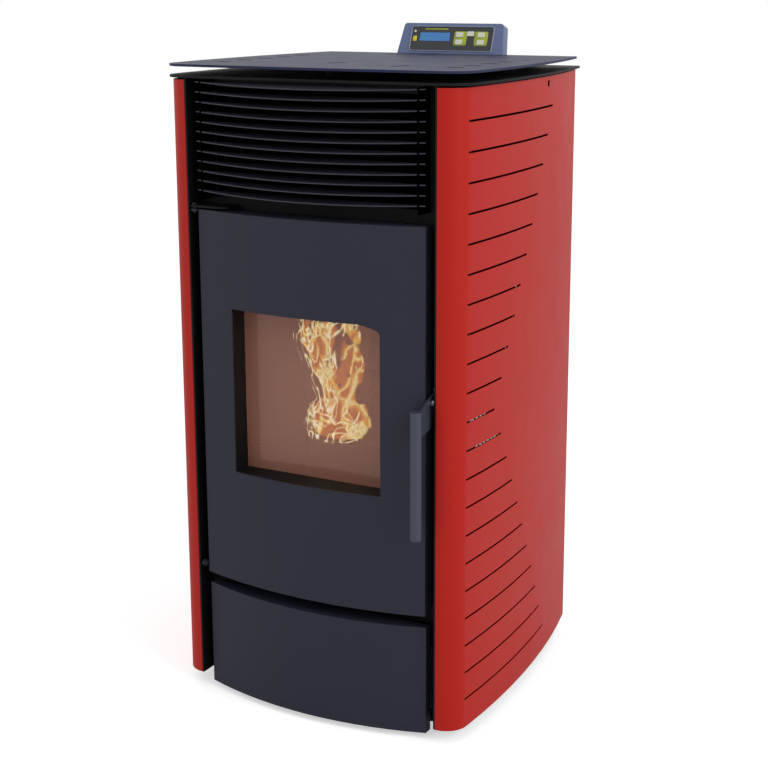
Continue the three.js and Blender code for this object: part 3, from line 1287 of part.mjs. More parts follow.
/** The mains inlet: flanged body with a three-pin socket and a pocket for the switch. */
function powerInlet() {
  const [xs, zs] = inletPocket(0);
  const front = PANEL_BACK_Y + GAP + INLET.plate;
  const { flange } = INLET;
  const body = join(
    box(xs, [front - INLET.depth, front - 0.5], zs),
    box([xs[0] - flange, xs[1] + flange], [PANEL_BACK_Y + GAP, front], [zs[0] - flange, zs[1] + flange]),
  );
  const socketZ = INLET.z + SOCKET.lift;
  const socket = box(
    [INLET.x - SOCKET.width / 2, INLET.x + SOCKET.width / 2],
    [front - SOCKET.depth, front + 1],
    [socketZ - SOCKET.height / 2, socketZ + SOCKET.height / 2],
  );
  const pins = SOCKET_PINS.map(([dx, dz]) =>
    box(
      [INLET.x + dx - SOCKET.pin / 2, INLET.x + dx + SOCKET.pin / 2],
      [front - SOCKET.depth - 1, front - SOCKET.depth + SOCKET.pinL],
      [socketZ + dz - SOCKET.pin, socketZ + dz + SOCKET.pin],
    ),
  );
  const { clear } = ROCKER;
  const pocket = box(
    [INLET.x - ROCKER.width / 2 - clear, INLET.x + ROCKER.width / 2 + clear],
    [front - ROCKER.depth - 4, front + 1],
    [rockerZ - ROCKER.height / 2 - clear, rockerZ + ROCKER.height / 2 + clear],
  );
  return join(cut(body, socket, pocket, rockerAxle(GAP, ROCKER_AXLE.bearingEnd)), ...pins);
}

piece("power_inlet", "blackPlastic", powerInlet());

/** The rocker switch: a shallow V-faced key on a cross axle. */
function powerSwitch() {
  const half = ROCKER.height / 2;
  const back = rockerY - ROCKER.depth + 2;
  const side = [
    [back, rockerZ - half + 3],
    [rockerY + 1, rockerZ - half],
    [rockerY + 3, rockerZ - half + 0.5],
    [rockerY + 1.2, rockerZ],
    [rockerY + 3, rockerZ + half - 0.5],
    [rockerY + 1, rockerZ + half],
    [back, rockerZ + half - 3],
  ];
  const key = across(side.reverse(), INLET.x - ROCKER.width / 2, INLET.x + ROCKER.width / 2);
  return join(key, rockerAxle(0, ROCKER_AXLE.end));
}

piece("power_switch", "blackPlastic", powerSwitch());

// ---------------------------------------------------------------- control panel

const controlBaseZ = topPlateZ + PLATE_THICKNESS + GAP;

/** Places a solid made on the control panel's own face: x across, -y out of the face, z up it. */
function onControl(manifold) {
  const geometry = geometryOf(manifold);
  geometry.rotateX(-rad(CONTROL.tilt)).translate(CONTROL.x, CONTROL.frontY, controlBaseZ);
  return solid(geometry);
}

/** The face's outline, narrower at the top, with two rounded upper corners, inset by a margin. */
function controlOutline(inset, footZ) {
  const { footHalf, topHalf, height } = CONTROL;
  const footX = footHalf + ((topHalf - footHalf) * footZ) / height - inset;
  const x = topHalf - inset;
  const r = CONTROL_CORNER_R - inset;
  const z = height - inset;
  return [
    [-footX, footZ],
    [footX, footZ],
    ...arc(x - r, z - r, r, 0, Math.PI / 2, 4),
    ...arc(-x + r, z - r, r, Math.PI / 2, Math.PI, 4),
  ];
}

const fasciaSpan = (grow) => [
  [-FASCIA.halfWidth - grow, FASCIA.halfWidth + grow],
  [FASCIA.bottom - grow, FASCIA.bottom + FASCIA.height + grow],
];
const keyPlaces = [...KEY.zs.flatMap((z) => KEY.xs.map((x) => [x, z])), KEY.middle];

/** A key's block, or the window round it when grown, between two depths. */
function keyBox([x, z], grow, ys) {
  const halfX = KEY.width / 2 + grow;
  const halfZ = KEY.height / 2 + grow;
  return box([x - halfX, x + halfX], ys, [z - halfZ, z + halfZ]);
}

/** The control panel's hollow housing, leaning back, open underneath. */
function controlHousing() {
  const { height, footHalf, depth, wall } = CONTROL;
  const shell = deep(controlOutline(0, -depth), 0, depth);
  const inside = deep(controlOutline(wall, -depth - 1), wall + FASCIA.sheet, depth - wall);
  const [xs, zs] = fasciaSpan(GAP);
  const recess = box(xs, [-1, FASCIA.sheet + GAP], zs);
  const keyholes = keyPlaces.map((place) => keyBox(place, GAP, [-1, 2 * wall]));
  const standing = onControl(cut(shell, inside, recess, ...keyholes));
  const underPlate = box(
    [CONTROL.x - 2 * footHalf, CONTROL.x + 2 * footHalf],
    [CONTROL.frontY - height, CONTROL.frontY + height],
    [controlBaseZ - height, controlBaseZ],
  );
  return cut(standing, underPlate);
}

piece("control_housing", "greyPlastic", controlHousing());

/** The dark face plate in the housing's recess, with windows for the display and the keys. */
function controlFascia() {
  const [xs, zs] = fasciaSpan(0);
  const plate = box(xs, [0, FASCIA.sheet], zs);
  const window = displayBox(GAP, [-1, FASCIA.sheet + 1]);
  return onControl(cut(plate, window, ...keyPlaces.map((place) => keyBox(place, GAP, [-1, 3]))));
}

function displayBox(grow, ys) {
  return box(
    [DISPLAY.x - DISPLAY.halfWidth - grow, DISPLAY.x + DISPLAY.halfWidth + grow],
    ys,
    [DISPLAY.z - DISPLAY.halfHeight - grow, DISPLAY.z + DISPLAY.halfHeight + grow],
  );
}

piece("control_fascia", "blackPlastic", controlFascia());
piece("control_display", "blueDisplay", onControl(displayBox(0, [0.2, FASCIA.sheet])));

keyPlaces.forEach((place, i) => {
  piece(`control_key_${i + 1}`, "keyRubber", onControl(keyBox(place, 0, [-KEY.proud, CONTROL.wall])));
});

export default stove;
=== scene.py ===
"""The finished look of a free-standing pellet stove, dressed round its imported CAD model.

Lengths are metres in the CAD frame: +X right and +Y back as seen from the stove's front, +Z up.
Sizes that a drawing would give in millimetres are written with the MM factor.
"""

import logging
import math
from dataclasses import dataclass, field
from enum import Enum

import bpy
import numpy as np
from mathutils import Euler, Matrix, Vector


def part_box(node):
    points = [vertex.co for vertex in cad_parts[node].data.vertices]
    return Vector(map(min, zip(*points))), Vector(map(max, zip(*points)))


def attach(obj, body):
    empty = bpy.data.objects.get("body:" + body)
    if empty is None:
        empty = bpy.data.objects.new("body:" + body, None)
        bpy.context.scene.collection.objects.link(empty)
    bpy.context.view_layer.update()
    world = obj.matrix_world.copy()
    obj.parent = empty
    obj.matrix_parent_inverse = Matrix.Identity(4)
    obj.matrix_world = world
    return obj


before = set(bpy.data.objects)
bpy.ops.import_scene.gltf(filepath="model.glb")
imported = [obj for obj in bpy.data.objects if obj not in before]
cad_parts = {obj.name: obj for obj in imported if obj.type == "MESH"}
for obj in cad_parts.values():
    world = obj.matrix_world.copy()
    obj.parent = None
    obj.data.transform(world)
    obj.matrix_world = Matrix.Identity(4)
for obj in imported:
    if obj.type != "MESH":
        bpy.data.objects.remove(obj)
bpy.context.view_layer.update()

MM = 0.001
# Painted deep shade, laid over a coat by its mask; the sleeve's dark braid bands take it too.
DEEP_SHADE = "#020203"
WHITE = (1, 1, 1, 1)
BEVEL_ANGLE_DEG = 28.0
WELD_REACH = 0.001 * MM
CORNER_POINTS = 32
NO_LENGTH = 1e-9
CASING = "casing"
LID = "lid"
LOG = logging.getLogger("pellet_stove")

Triple = tuple[float, float, float]
Surface = tuple[np.ndarray, np.ndarray]
Nodes = bpy.types.NodeTree
Node = bpy.types.Node
Socket = bpy.types.NodeSocket
Material = bpy.types.Material
Object = bpy.types.Object


# ------------------------------------------------------------------ colour and shader helpers


def linear(hex_colour: str) -> tuple[float, float, float, float]:
    """Turns an sRGB hex colour into Blender's linear colour.

    Args:
        hex_colour: Six hex digits after a hash sign.

    Returns:
        Linear red, green and blue, and an alpha of 1.
    """
    channels = [int(hex_colour[i : i + 2], 16) / 255 for i in (1, 3, 5)]
    straight = [c / 12.92 if c <= 0.04045 else ((c + 0.055) / 1.055) ** 2.4 for c in channels]
    return (*straight, 1.0)


def add_node(tree: Nodes, kind: str, links: dict[str | int, object] | None = None, **values: object) -> Node:
    """Adds a shader node and fills its properties and inputs.

    Args:
        tree: The node tree that takes the node.
        kind: The node's Blender type, without the ShaderNode prefix.
        links: Input name or number to the output socket that feeds it, or to a constant value.
        **values: Properties of the node itself.

    Returns:
        The new node.
    """
    node = tree.nodes.new(f"ShaderNode{kind}")
    for name, value in values.items():
        setattr(node, name, value)
    for key, value in (links or {}).items():
        if isinstance(value, bpy.types.NodeSocket):
            tree.links.new(value, node.inputs[key])
        else:
            node.inputs[key].default_value = value
    return node


def new_material(name: str) -> tuple[Material, Nodes, Node]:
    """Makes an empty node material with its output node.

    Args:
        name: The name of the real finish.

    Returns:
        The material, its node tree and its output node.
    """
    material = bpy.data.materials.new(name)
    material.use_nodes = True
    tree = material.node_tree
    tree.nodes.clear()
    return material, tree, tree.nodes.new("ShaderNodeOutputMaterial")


def noise(tree: Nodes, size_mm: float, detail: float = 2.0) -> Socket:
    """A noise pattern in the object's own coordinates.

    Args:
        tree: The node tree that takes the nodes.
        size_mm: The size of one grain of the pattern.
        detail: How many finer layers the pattern has.

    Returns:
        Its value, about one half on average.
    """
    place = add_node(tree, "TexCoord").outputs["Object"]
    values = {"Vector": place, "Scale": 1 / (size_mm * MM), "Detail": detail}
    return add_node(tree, "TexNoise", values).outputs["Fac"]


def place_axes(tree: Nodes) -> dict[str, Socket]:
    """The X, Y and Z of the shaded point in its object's own coordinates.

    Args:
        tree: The node tree that takes the nodes.

    Returns:
        The three sockets by their letter.
    """
    place = add_node(tree, "TexCoord").outputs["Object"]
    split = add_node(tree, "SeparateXYZ", {"Vector": place})
    return {letter: split.outputs[letter] for letter in "XYZ"}


# ------------------------------------------------------------------ finishes


@dataclass(frozen=True)
class Finish:
    """A painted, metal, plastic or ceramic surface.

    The base colour wavers between two nearby shades in soft patches, the roughness wavers a little
    with it, and a fine grain in the bump stands for the texture that a finger would feel. No grain
    is drawn finer than half a millimetre, because a finer one wouldn't show.
    """

    label: str
    colour: str
    roughness: float
    metallic: float = 0.0
    specular: float = 0.5
    coat: float = 0.0
    coat_roughness: float = 0.2
    mottle: float = 0.04
    mottle_mm: float = 60.0
    grain_mm: float = 1.2
    grain_depth_mm: float = 0.01
    grain_strength: float = 0.5
    rough_share: float = 0.15
    rough_most: float = 0.06
    glow: float = 0.0

    def shaded(self, tree: Nodes) -> Socket | None:
        """Where painted deep shade covers the coat, as 0 or 1: nowhere on a plain finish."""
        return None

    def build(self) -> Material:
        """Makes the material.

        Returns:
            A Principled material with procedural colour, roughness and grain.
        """
        material, tree, output = new_material(self.label)
        base = linear(self.colour)
        dark = tuple(c * (1 - self.mottle) for c in base[:3]) + (1.0,)
        light = tuple(min(1.0, c * (1 + self.mottle)) for c in base[:3]) + (1.0,)
        patches = noise(tree, self.mottle_mm, 3.0)
        colour = add_node(tree, "MixRGB", {"Fac": patches, "Color1": dark, "Color2": light}).outputs["Color"]
        spread = min(self.rough_most, self.roughness * self.rough_share)
        span = {"Value": patches, "To Min": self.roughness - spread, "To Max": self.roughness + spread}
        rough = add_node(tree, "MapRange", span).outputs["Result"]
        grain = noise(tree, self.grain_mm)
        depth = self.grain_depth_mm * MM
        relief = {"Height": grain, "Strength": self.grain_strength, "Distance": depth}
        bump = add_node(tree, "Bump", relief).outputs["Normal"]
        specular = self.specular
        # Painted deep shade where the mask is 1: near-black colour and no highlight (on the sleeve, the
        # braid's dark bands).
        shade = self.shaded(tree)
        if shade:
            layers = {"Fac": shade, "Color1": colour, "Color2": linear(DEEP_SHADE)}
            colour = add_node(tree, "MixRGB", layers).outputs["Color"]
            falling = {"Value": shade, "To Min": self.specular, "To Max": 0.0}
            specular = add_node(tree, "MapRange", falling).outputs["Result"]
        inputs = {"Base Color": colour, "Roughness": rough, "Normal": bump, "Specular IOR Level": specular}
        shader = add_node(tree, "BsdfPrincipled", inputs)
        shader.inputs["Metallic"].default_value = self.metallic
        shader.inputs["Coat Weight"].default_value = self.coat
        shader.inputs["Coat Roughness"].default_value = self.coat_roughness
        if self.glow:
            shader.inputs["Emission Color"].default_value = base
            shader.inputs["Emission Strength"].default_value = self.glow
        tree.links.new(shader.outputs["BSDF"], output.inputs["Surface"])
        return material


@dataclass(frozen=True)
class LouvreCoat(Finish):
    """The louvres' paint, with painted deep shade on the posts that carry the blades."""

    post_x: float = 199.5 * MM
    post_half: float = 2.1 * MM

    def shaded(self, tree: Nodes) -> Socket | None:
        """Painted shade within a post's width, measured from the stove's middle plane."""
        x = place_axes(tree)["X"]
        away = add_node(tree, "Math", {0: x}, operation="ABSOLUTE").outputs[0]
        values = {0: away, 1: self.post_x, 2: self.post_half}
        return add_node(tree, "Math", values, operation="COMPARE").outputs[0]


@dataclass(frozen=True)
class PanelCoat(Finish):
    """The bowed panels' coat, on the outer skin alone: slot walls and inner faces get painted deep shade."""

    bow_x: float = -1433 * MM
    bow_y: float = -101 * MM
    skin_r: float = 1707.6 * MM
    corner_y: float = -234 * MM

    def shaded(self, tree: Nodes) -> Socket | None:
        """Painted shade behind the rounded front corner, at a smaller radius than the skin about the bow's
        centre.
        """
        axes = place_axes(tree)
        away = add_node(tree, "Math", {0: axes["X"]}, operation="ABSOLUTE").outputs[0]
        across = add_node(tree, "Math", {0: away, 1: self.bow_x}, operation="SUBTRACT").outputs[0]
        along = add_node(tree, "Math", {0: axes["Y"], 1: self.bow_y}, operation="SUBTRACT").outputs[0]
        flat = add_node(tree, "CombineXYZ", {"X": across, "Y": along}).outputs["Vector"]
        r = add_node(tree, "VectorMath", {0: flat}, operation="LENGTH").outputs["Value"]
        inside = add_node(tree, "Math", {0: r, 1: self.skin_r}, operation="LESS_THAN").outputs[0]
        behind = add_node(tree, "Math", {0: axes["Y"], 1: self.corner_y}, operation="GREATER_THAN").outputs[0]
        return add_node(tree, "Math", {0: inside, 1: behind}, operation="MULTIPLY").outputs[0]


@dataclass(frozen=True)
class BraidCoat(Finish):
    """A sleeve's white braid with dark bands, spaced evenly from front to back."""

    band_mm: float = 13.0
    level: float = 0.25

    def shaded(self, tree: Nodes) -> Socket | None:
        """The braid's own dark bands: where a sine wave along Y is above the level, which leaves the white
        bands a little longer.
        """
        pace = 2 * math.pi / (self.band_mm * MM)
        turn = add_node(tree, "Math", {0: place_axes(tree)["Y"], 1: pace}, operation="MULTIPLY").outputs[0]
        wave = add_node(tree, "Math", {0: turn}, operation="SINE").outputs[0]
        return add_node(tree, "Math", {0: wave, 1: self.level}, operation="GREATER_THAN").outputs[0]


@dataclass(frozen=True)
class FireGlass:
    """Ceramic fire glass: a glossy pane whose brown cast half hides what lies behind it."""

    label: str = "ceramic fire glass"
    colour: str = "#A97665"
    roughness: float = 0.06
    veil: float = 0.6
    veil_spread: float = 0.04
    veil_mm: float = 180.0

    def build(self) -> Material:
        """Makes the material.

        Returns:
            A Principled material whose alpha wavers a little over the pane.
        """
        material, tree, output = new_material(self.label)
        haze = noise(tree, self.veil_mm)
        span = {"Value": haze, "To Min": self.veil - self.veil_spread, "To Max": self.veil + self.veil_spread}
        alpha = add_node(tree, "MapRange", span).outputs["Result"]
        shader = add_node(tree, "BsdfPrincipled", {"Alpha": alpha})
        shader.inputs["Base Color"].default_value = linear(self.colour)
        shader.inputs["Roughness"].default_value = self.roughness
        tree.links.new(shader.outputs["BSDF"], output.inputs["Surface"])
        return material


@dataclass(frozen=True)
class FlameLight:
    """Burning gas: bright curls where a twisted noise crosses its middle value.

    The curls run from cream at their crest to orange at their foot. A sheet's stored share, 0 at its
    rim and 1 at its middle, and a second noise eat a ragged outline and holes into it.
    """

    label: str = "flame"
    colours: tuple[str, ...] = ("#BE6414", "#E08C1E", "#F4BE38", "#FFF2A8")
    stops: tuple[float, ...] = (0.0, 0.3, 0.62, 0.92)
    curl_mm: float = 44.0
    curl_width: float = 0.075
    twist: float = 0.7
    detail: float = 1.4
    filled: float = 1.0
    ragged: float = 2.2
    strength: float = 2.8
    upwards: float = 0.62
    middle: float = 0.5
    rim: tuple[float, float] = (0.4, 0.42)
    bites: float = 0.8
    cut: tuple[float, float] = (0.1, 0.16)

    def curls(self, tree: Nodes, size_mm: float) -> Socket:
        """A twisted noise, drawn out upwards.

        Args:
            tree: The node tree that takes the nodes.
            size_mm: The size of its curls.

        Returns:
            Its value, about one half on average.
        """
        place = add_node(tree, "TexCoord").outputs["Object"]
        drawn = add_node(tree, "Mapping", {"Vector": place, "Scale": (1, 1, self.upwards)}).outputs["Vector"]
        values = {"Vector": drawn, "Scale": 1 / (size_mm * MM), "Detail": self.detail}
        return add_node(tree, "TexNoise", {**values, "Distortion": self.twist}).outputs["Fac"]

    def build(self) -> Material:
        """Makes the material.

        Returns:
            A glowing Principled material with a ragged alpha.
        """
        material, tree, output = new_material(self.label)
        curls = self.curls(tree, self.curl_mm)
        off = add_node(tree, "Math", {0: curls, 1: self.middle}, operation="SUBTRACT").outputs[0]
        off = add_node(tree, "Math", {0: off}, operation="ABSOLUTE").outputs[0]
        span = {"Value": off, "From Min": 0.0, "From Max": self.curl_width, "To Min": 1.0, "To Max": 0.0}
        crest = add_node(tree, "MapRange", span).outputs["Result"]
        ramp = add_node(tree, "ValToRGB", {"Fac": crest})
        points = ramp.color_ramp.elements
        while len(points) < len(self.colours):
            points.new(0.5)
        for point, stop, colour in zip(points, self.stops, self.colours):
            point.position = stop
            point.color = linear(colour)
        share = add_node(tree, "Attribute", attribute_name="share").outputs["Fac"]
        span = {"Value": share, "From Max": self.rim[0], "To Max": self.rim[1]}
        rim = add_node(tree, "MapRange", span).outputs["Result"]
        eaten = self.curls(tree, self.curl_mm * self.bites)
        eaten = add_node(tree, "Math", {0: eaten, 1: self.middle}, operation="SUBTRACT").outputs[0]
        left = add_node(tree, "Math", {0: eaten, 1: self.ragged, 2: rim}, operation="MULTIPLY_ADD").outputs[0]
        span = {"Value": left, "From Min": self.cut[0], "From Max": self.cut[1]}
        cut = add_node(tree, "MapRange", span).outputs["Result"]
        solid = add_node(tree, "Math", {0: crest, 1: self.filled}, operation="MAXIMUM").outputs[0]
        alpha = add_node(tree, "Math", {0: cut, 1: solid}, operation="MULTIPLY").outputs[0]
        shader = add_node(tree, "BsdfPrincipled", {"Alpha": alpha, "Emission Color": ramp.outputs["Color"]})
        shader.inputs["Base Color"].default_value = (0, 0, 0, 1)
        shader.inputs["Roughness"].default_value = 1.0
        shader.inputs["Specular IOR Level"].default_value = 0.0
        shader.inputs["Emission Strength"].default_value = self.strength
        tree.links.new(shader.outputs["BSDF"], output.inputs["Surface"])
        return material


class Paint(Enum):
    """Every finish on the stove, by what the real one is, and the black of painted shade; the comments say
    what it gives the eye.
    """

    # Sprayed and baked powder: an even satin red with wide, soft highlights; slot walls and inner faces get
    # painted deep shade.
    RED = PanelCoat("red powder coat", "#B0180B", 0.45, specular=0.22, mottle=0.02)
    # The same coat in a dark blue-grey, which pales where light grazes it.
    ANTHRACITE = Finish(
        "anthracite powder coat", "#252735", 0.5, specular=0.25, mottle=0.05, grain_depth_mm=0.02
    )
    # A smoother coat than the door's, with a tighter highlight; its colour is painted paler than the door's
    # to stand in for the light that the round bar catches.
    HANDLE = Finish("anthracite gloss coat with painted light", "#363D4B", 0.38, specular=0.5, mottle=0.03, grain_depth_mm=0.01)
    # The same coat on thin blades: dark faces with a bright line along each edge, and painted deep shade on
    # the posts.
    LOUVRE = LouvreCoat("anthracite louvre coat", "#20222E", 0.45, specular=0.5, mottle=0.03)
    # Textured powder: a dull, bluish dark face whose grain breaks up the highlight.
    TOP = Finish(
        "fine-textured anthracite coat",
        "#242A46",
        0.5,
        specular=0.16,
        mottle=0.05,
        grain_mm=0.8,
        grain_depth_mm=0.03,
    )
    # Sprayed heat-proof paint: nearly black, with hardly any highlight.
    BLACK = Finish("heat-proof black paint", "#08080B", 0.6, specular=0.2, mottle=0.1, grain_depth_mm=0.02)
    # Painted shade: takes in almost all light, so that a slot in front of it reads as a dark gap.
    PAINTED_SHADE = Finish("black sheet for painted shade", "#020203", 0.9, specular=0.03, mottle=0.1)
    # Steel darkened by heat: a dark face with a hard glint.
    DARK_STEEL = Finish("blackened steel", "#1A1A1E", 0.4, metallic=0.6, mottle=0.1, grain_mm=0.5)
    # Dipped sheet steel: grey metal in patches that differ a little in tone.
    ZINC = Finish("galvanised sheet steel", "#A9ADB1", 0.42, metallic=0.9, mottle=0.16, mottle_mm=18.0)
    # Turned on a lathe: clean bright metal with narrow highlights.
    BRIGHT = Finish("turned steel", "#B9BCC0", 0.3, metallic=1.0, grain_mm=0.5)
    # Cast in sand: a dark brown-grey with a coarse, rough skin.
    IRON = Finish(
        "cast iron", "#2B2826", 0.8, metallic=0.3, mottle=0.2, mottle_mm=12, grain_mm=2.5, grain_depth_mm=0.2
    )
    # Pressed board: warm brown, chalky and pitted, with no highlight.
    VERMICULITE = Finish(
        "vermiculite board", "#9A7158", 0.95, mottle=0.12, mottle_mm=9, grain_mm=2, grain_depth_mm=0.15
    )
    # Woven glass: grey, fibrous and quite dull.
    ROPE = Finish(
        "woven glass rope", "#3B3835", 0.95, mottle=0.25, mottle_mm=4, grain_mm=1.5, grain_depth_mm=0.4
    )
    # Moulded with a fine texture: blue-grey with a soft, even sheen.
    GREY_PLASTIC = Finish(
        "grey moulded plastic", "#607196", 0.5, mottle=0.03, grain_mm=0.6, grain_depth_mm=0.015
    )
    # Moulded: black, with a soft sheen.
    BLACK_PLASTIC = Finish("black moulded plastic", "#101114", 0.45, mottle=0.05, grain_mm=0.6)
    # Printed from behind: a flat dark face, a little glossier than the housing.
    LABEL = Finish("printed dark foil", "#23272C", 0.35, mottle=0.03)
    # A glossy window with light behind it: a clear blue that holds in shade.
    DISPLAY = Finish(
        "lit blue display", "#1467A8", 0.15, coat=0.6, coat_roughness=0.05, mottle=0.05, glow=0.35
    )
    # Moulded silicone: pale and soft, with no sharp highlight.
    KEY = Finish("pale silicone key", "#E4E6D2", 0.55, mottle=0.03)
    # Printed ink: one flat colour with a dull sheen.
    GREEN_PRINT = Finish("yellow-green print", "#A9B42E", 0.5, mottle=0.03)
    # The same ink in a clear yellow.
    YELLOW_PRINT = Finish("yellow print", "#E8D51E", 0.5, mottle=0.03)
    # Moulded, and paler than the housing, so that the rim stands out.
    RIM_PLASTIC = Finish("pale grey moulded plastic", "#8B94AC", 0.45, mottle=0.03)
    # Moulded rubber: a dull black without a hard highlight.
    RUBBER = Finish("black rubber", "#17171A", 0.85, mottle=0.1, grain_depth_mm=0.05)
    # Braided glass yarn: dull white that reads as light dashes through the slots.
    SLEEVE = BraidCoat("white and black sleeving", "#F2EFE6", 0.8, grain_mm=1.0, grain_depth_mm=0.2)
    # A clear pane with a brown cast: glossy, with the fire dimmed behind it.
    GLASS = FireGlass()
    # The flame's body: orange folds that fill the hindmost sheet.
    FLAME = FlameLight()
    # Its bright edges: pale threads with gaps between them, in the nearer sheets.
    FLAME_THREAD = FlameLight(
        "flame thread",
        ("#E08A1E", "#F6C83C", "#FFF0A0", "#FFFBE0"),
        curl_mm=30.0,
        curl_width=0.05,
        twist=0.9,
        filled=0.0,
        strength=3.4,
    )

    def material(self) -> Material:
        """The material of this finish, made once and then shared.

        Returns:
            The Blender material.
        """
        found = bpy.data.materials.get(self.value.label)
        return found or self.value.build()


class Edge(Enum):
    """How far the edges of a piece are rounded, in millimetres."""

    PLAIN = 0.0
    SHARP = 0.15
    SHEET = 0.5
    MOULDED = 0.9
    CAST = 1.4


# ------------------------------------------------------------------ mesh helpers


def dress(obj: Object, paint: Paint) -> None:
    """Gives a whole object one finish.

    Args:
        obj: The object.
        paint: Its finish.
    """
    obj.data.materials.clear()
    obj.data.materials.append(paint.material())


def soften(obj: Object, edge: Edge) -> None:
    """Rounds an object's hard edges and hardens the normals beside them.

    Args:
        obj: The object, whose loose corners are welded first.
        edge: How far the edges are rounded.
    """
    weld = obj.modifiers.new("weld", "WELD")
    weld.merge_threshold = 2 * WELD_REACH
    bevel = obj.modifiers.new("edges", "BEVEL")
    bevel.width = edge.value * MM
    bevel.segments = 1 if edge is Edge.SHARP else 2
    bevel.limit_method = "ANGLE"
    bevel.angle_limit = math.radians(BEVEL_ANGLE_DEG)
    bevel.harden_normals = True


def mesh_object(name: str, points: np.ndarray, faces: np.ndarray) -> Object:
    """Makes an object from points and four-sided faces.

    Args:
        name: The object's name.
        points: One row of three coordinates for each point.
        faces: One row of four point numbers for each face.

    Returns:
        The object, linked to the scene, with smooth shading.
    """
    mesh = bpy.data.meshes.new(name)
    mesh.from_pydata(points.tolist(), [], faces.tolist())
    mesh.polygons.foreach_set("use_smooth", np.ones(len(mesh.polygons), bool))
    mesh.update()
    obj = bpy.data.objects.new(name, mesh)
    bpy.context.scene.collection.objects.link(obj)
    return obj


def grid_faces(rows: int, columns: int, wrap_rows: bool = False, wrap_columns: bool = False) -> np.ndarray:
    """The faces of a grid of points, numbered row by row.

    Args:
        rows: How many rows of points there are.
        columns: How many points a row has.
        wrap_rows: True if the last row joins the first.
        wrap_columns: True if each row is a closed ring.

    Returns:
        One row of four point numbers for each face.
    """
    i = np.arange(rows if wrap_rows else rows - 1)[:, None]
    j = np.arange(columns if wrap_columns else columns - 1)[None, :]
    near, far = i * columns, ((i + 1) % rows) * columns
    here, there = j, (j + 1) % columns
    return np.stack([near + here, near + there, far + there, far + here], axis=-1).reshape(-1, 4)


def turned(name: str, profile: list[tuple[float, float]], sides: int = 20) -> Object:
    """A turned piece about Z: a profile of radius and height, in metres, carried round the axis.

    Args:
        name: The object's name.
        profile: Radius and height of each point, from the lower end to the upper end.
        sides: How many flats go round.

    Returns:
        The object at the origin.
    """
    radius, height = np.array(profile, float).T
    angle = np.linspace(0, 2 * math.pi, sides, endpoint=False)
    x = radius[:, None] * np.cos(angle)
    y = radius[:, None] * np.sin(angle)
    z = np.repeat(height[:, None], sides, axis=1)
    points = np.stack([x, y, z], axis=-1).reshape(-1, 3)
    obj = mesh_object(name, points, grid_faces(len(profile), sides, wrap_columns=True))
    obj.modifiers.new("weld", "WELD").merge_threshold = WELD_REACH
    return obj


def swept(path: np.ndarray, r: float, sides: int) -> Surface:
    """A tube along a path that runs across the fixed sideways axis Y.

    Each ring lies square to the path. Its first direction is the cross product of the path with that
    axis, and its second is square to both.

    Args:
        path: One row of three coordinates for each ring's centre.
        r: The tube's radius.
        sides: How many points a ring has.

    Returns:
        The points and the four-sided faces, with open ends.
    """
    run = np.gradient(path, axis=0)
    run /= np.linalg.norm(run, axis=1, keepdims=True)
    aside = np.cross(run, (0.0, 1.0, 0.0))
    aside /= np.maximum(np.linalg.norm(aside, axis=1, keepdims=True), NO_LENGTH)
    ahead = np.cross(run, aside)
    angle = np.linspace(0, 2 * math.pi, sides, endpoint=False)
    ring = np.cos(angle)[None, :, None] * aside[:, None, :]
    ring = ring + np.sin(angle)[None, :, None] * ahead[:, None, :]
    points = path[:, None, :] + r * ring
    return points.reshape(-1, 3), grid_faces(len(path), sides, wrap_columns=True)


def slab(outline: np.ndarray, low: float, high: float, inset: float = 0.0) -> Surface:
    """A flat plate over an outline of x and z, between two depths y, closed by rings to its middle.

    The near edge is the outline drawn towards its middle in one proportion, to make the bevel.

    Args:
        outline: One row of x and z for each point, in order round the plate.
        low: The nearer depth.
        high: The farther depth.
        inset: How far the near face's edge is drawn in, for a bevelled rim.

    Returns:
        The points and the four-sided faces.
    """
    middle = outline.mean(axis=0)
    reach = np.abs(outline - middle).max()
    drawn = middle + (outline - middle) * (1 - inset / reach)
    core = outline * 0 + middle
    rings = [(core, low), (drawn, low), (outline, low + inset), (outline, high), (core, high)]
    points = np.concatenate([np.insert(ring, 1, depth, axis=1) for ring, depth in rings])
    return points, grid_faces(len(rings), len(outline), wrap_columns=True)


def rounded(x: float, z: float, half_x: float, half_z: float, r: float) -> np.ndarray:
    """A rectangle with round corners.

    Each point lies on a circle of the corners' radius, moved out by the signs of its cosine and sine
    to the middle of its own corner.

    Args:
        x: Its middle across.
        z: Its middle upwards.
        half_x: Half its width.
        half_z: Half its height.
        r: Its corners' radius.

    Returns:
        One row of x and z for each point.
    """
    angle = np.linspace(0, 2 * math.pi, CORNER_POINTS, endpoint=False) + math.pi / CORNER_POINTS
    c, s = np.cos(angle), np.sin(angle)
    return np.stack([x + np.sign(c) * (half_x - r) + r * c, z + np.sign(s) * (half_z - r) + r * s], axis=1)


def placed(obj: Object, matrix: Matrix) -> Object:
    """Turns and moves an object's mesh, so that the object itself stays at the origin.

    Args:
        obj: The object.
        matrix: Where its mesh goes.

    Returns:
        The same object.
    """
    obj.data.transform(matrix)
    return obj


def settle(obj: Object, body: str, paint: Paint) -> Object:
    """Dresses a new piece and fixes it to a CAD body.

    Args:
        obj: The piece, in place.
        body: The body that it moves with.
        paint: Its finish.

    Returns:
        The same object.
    """
    dress(obj, paint)
    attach(obj, body)
    LOG.info("made %s on %s", obj.name, body)
    return obj


# ------------------------------------------------------------------ CAD nodes


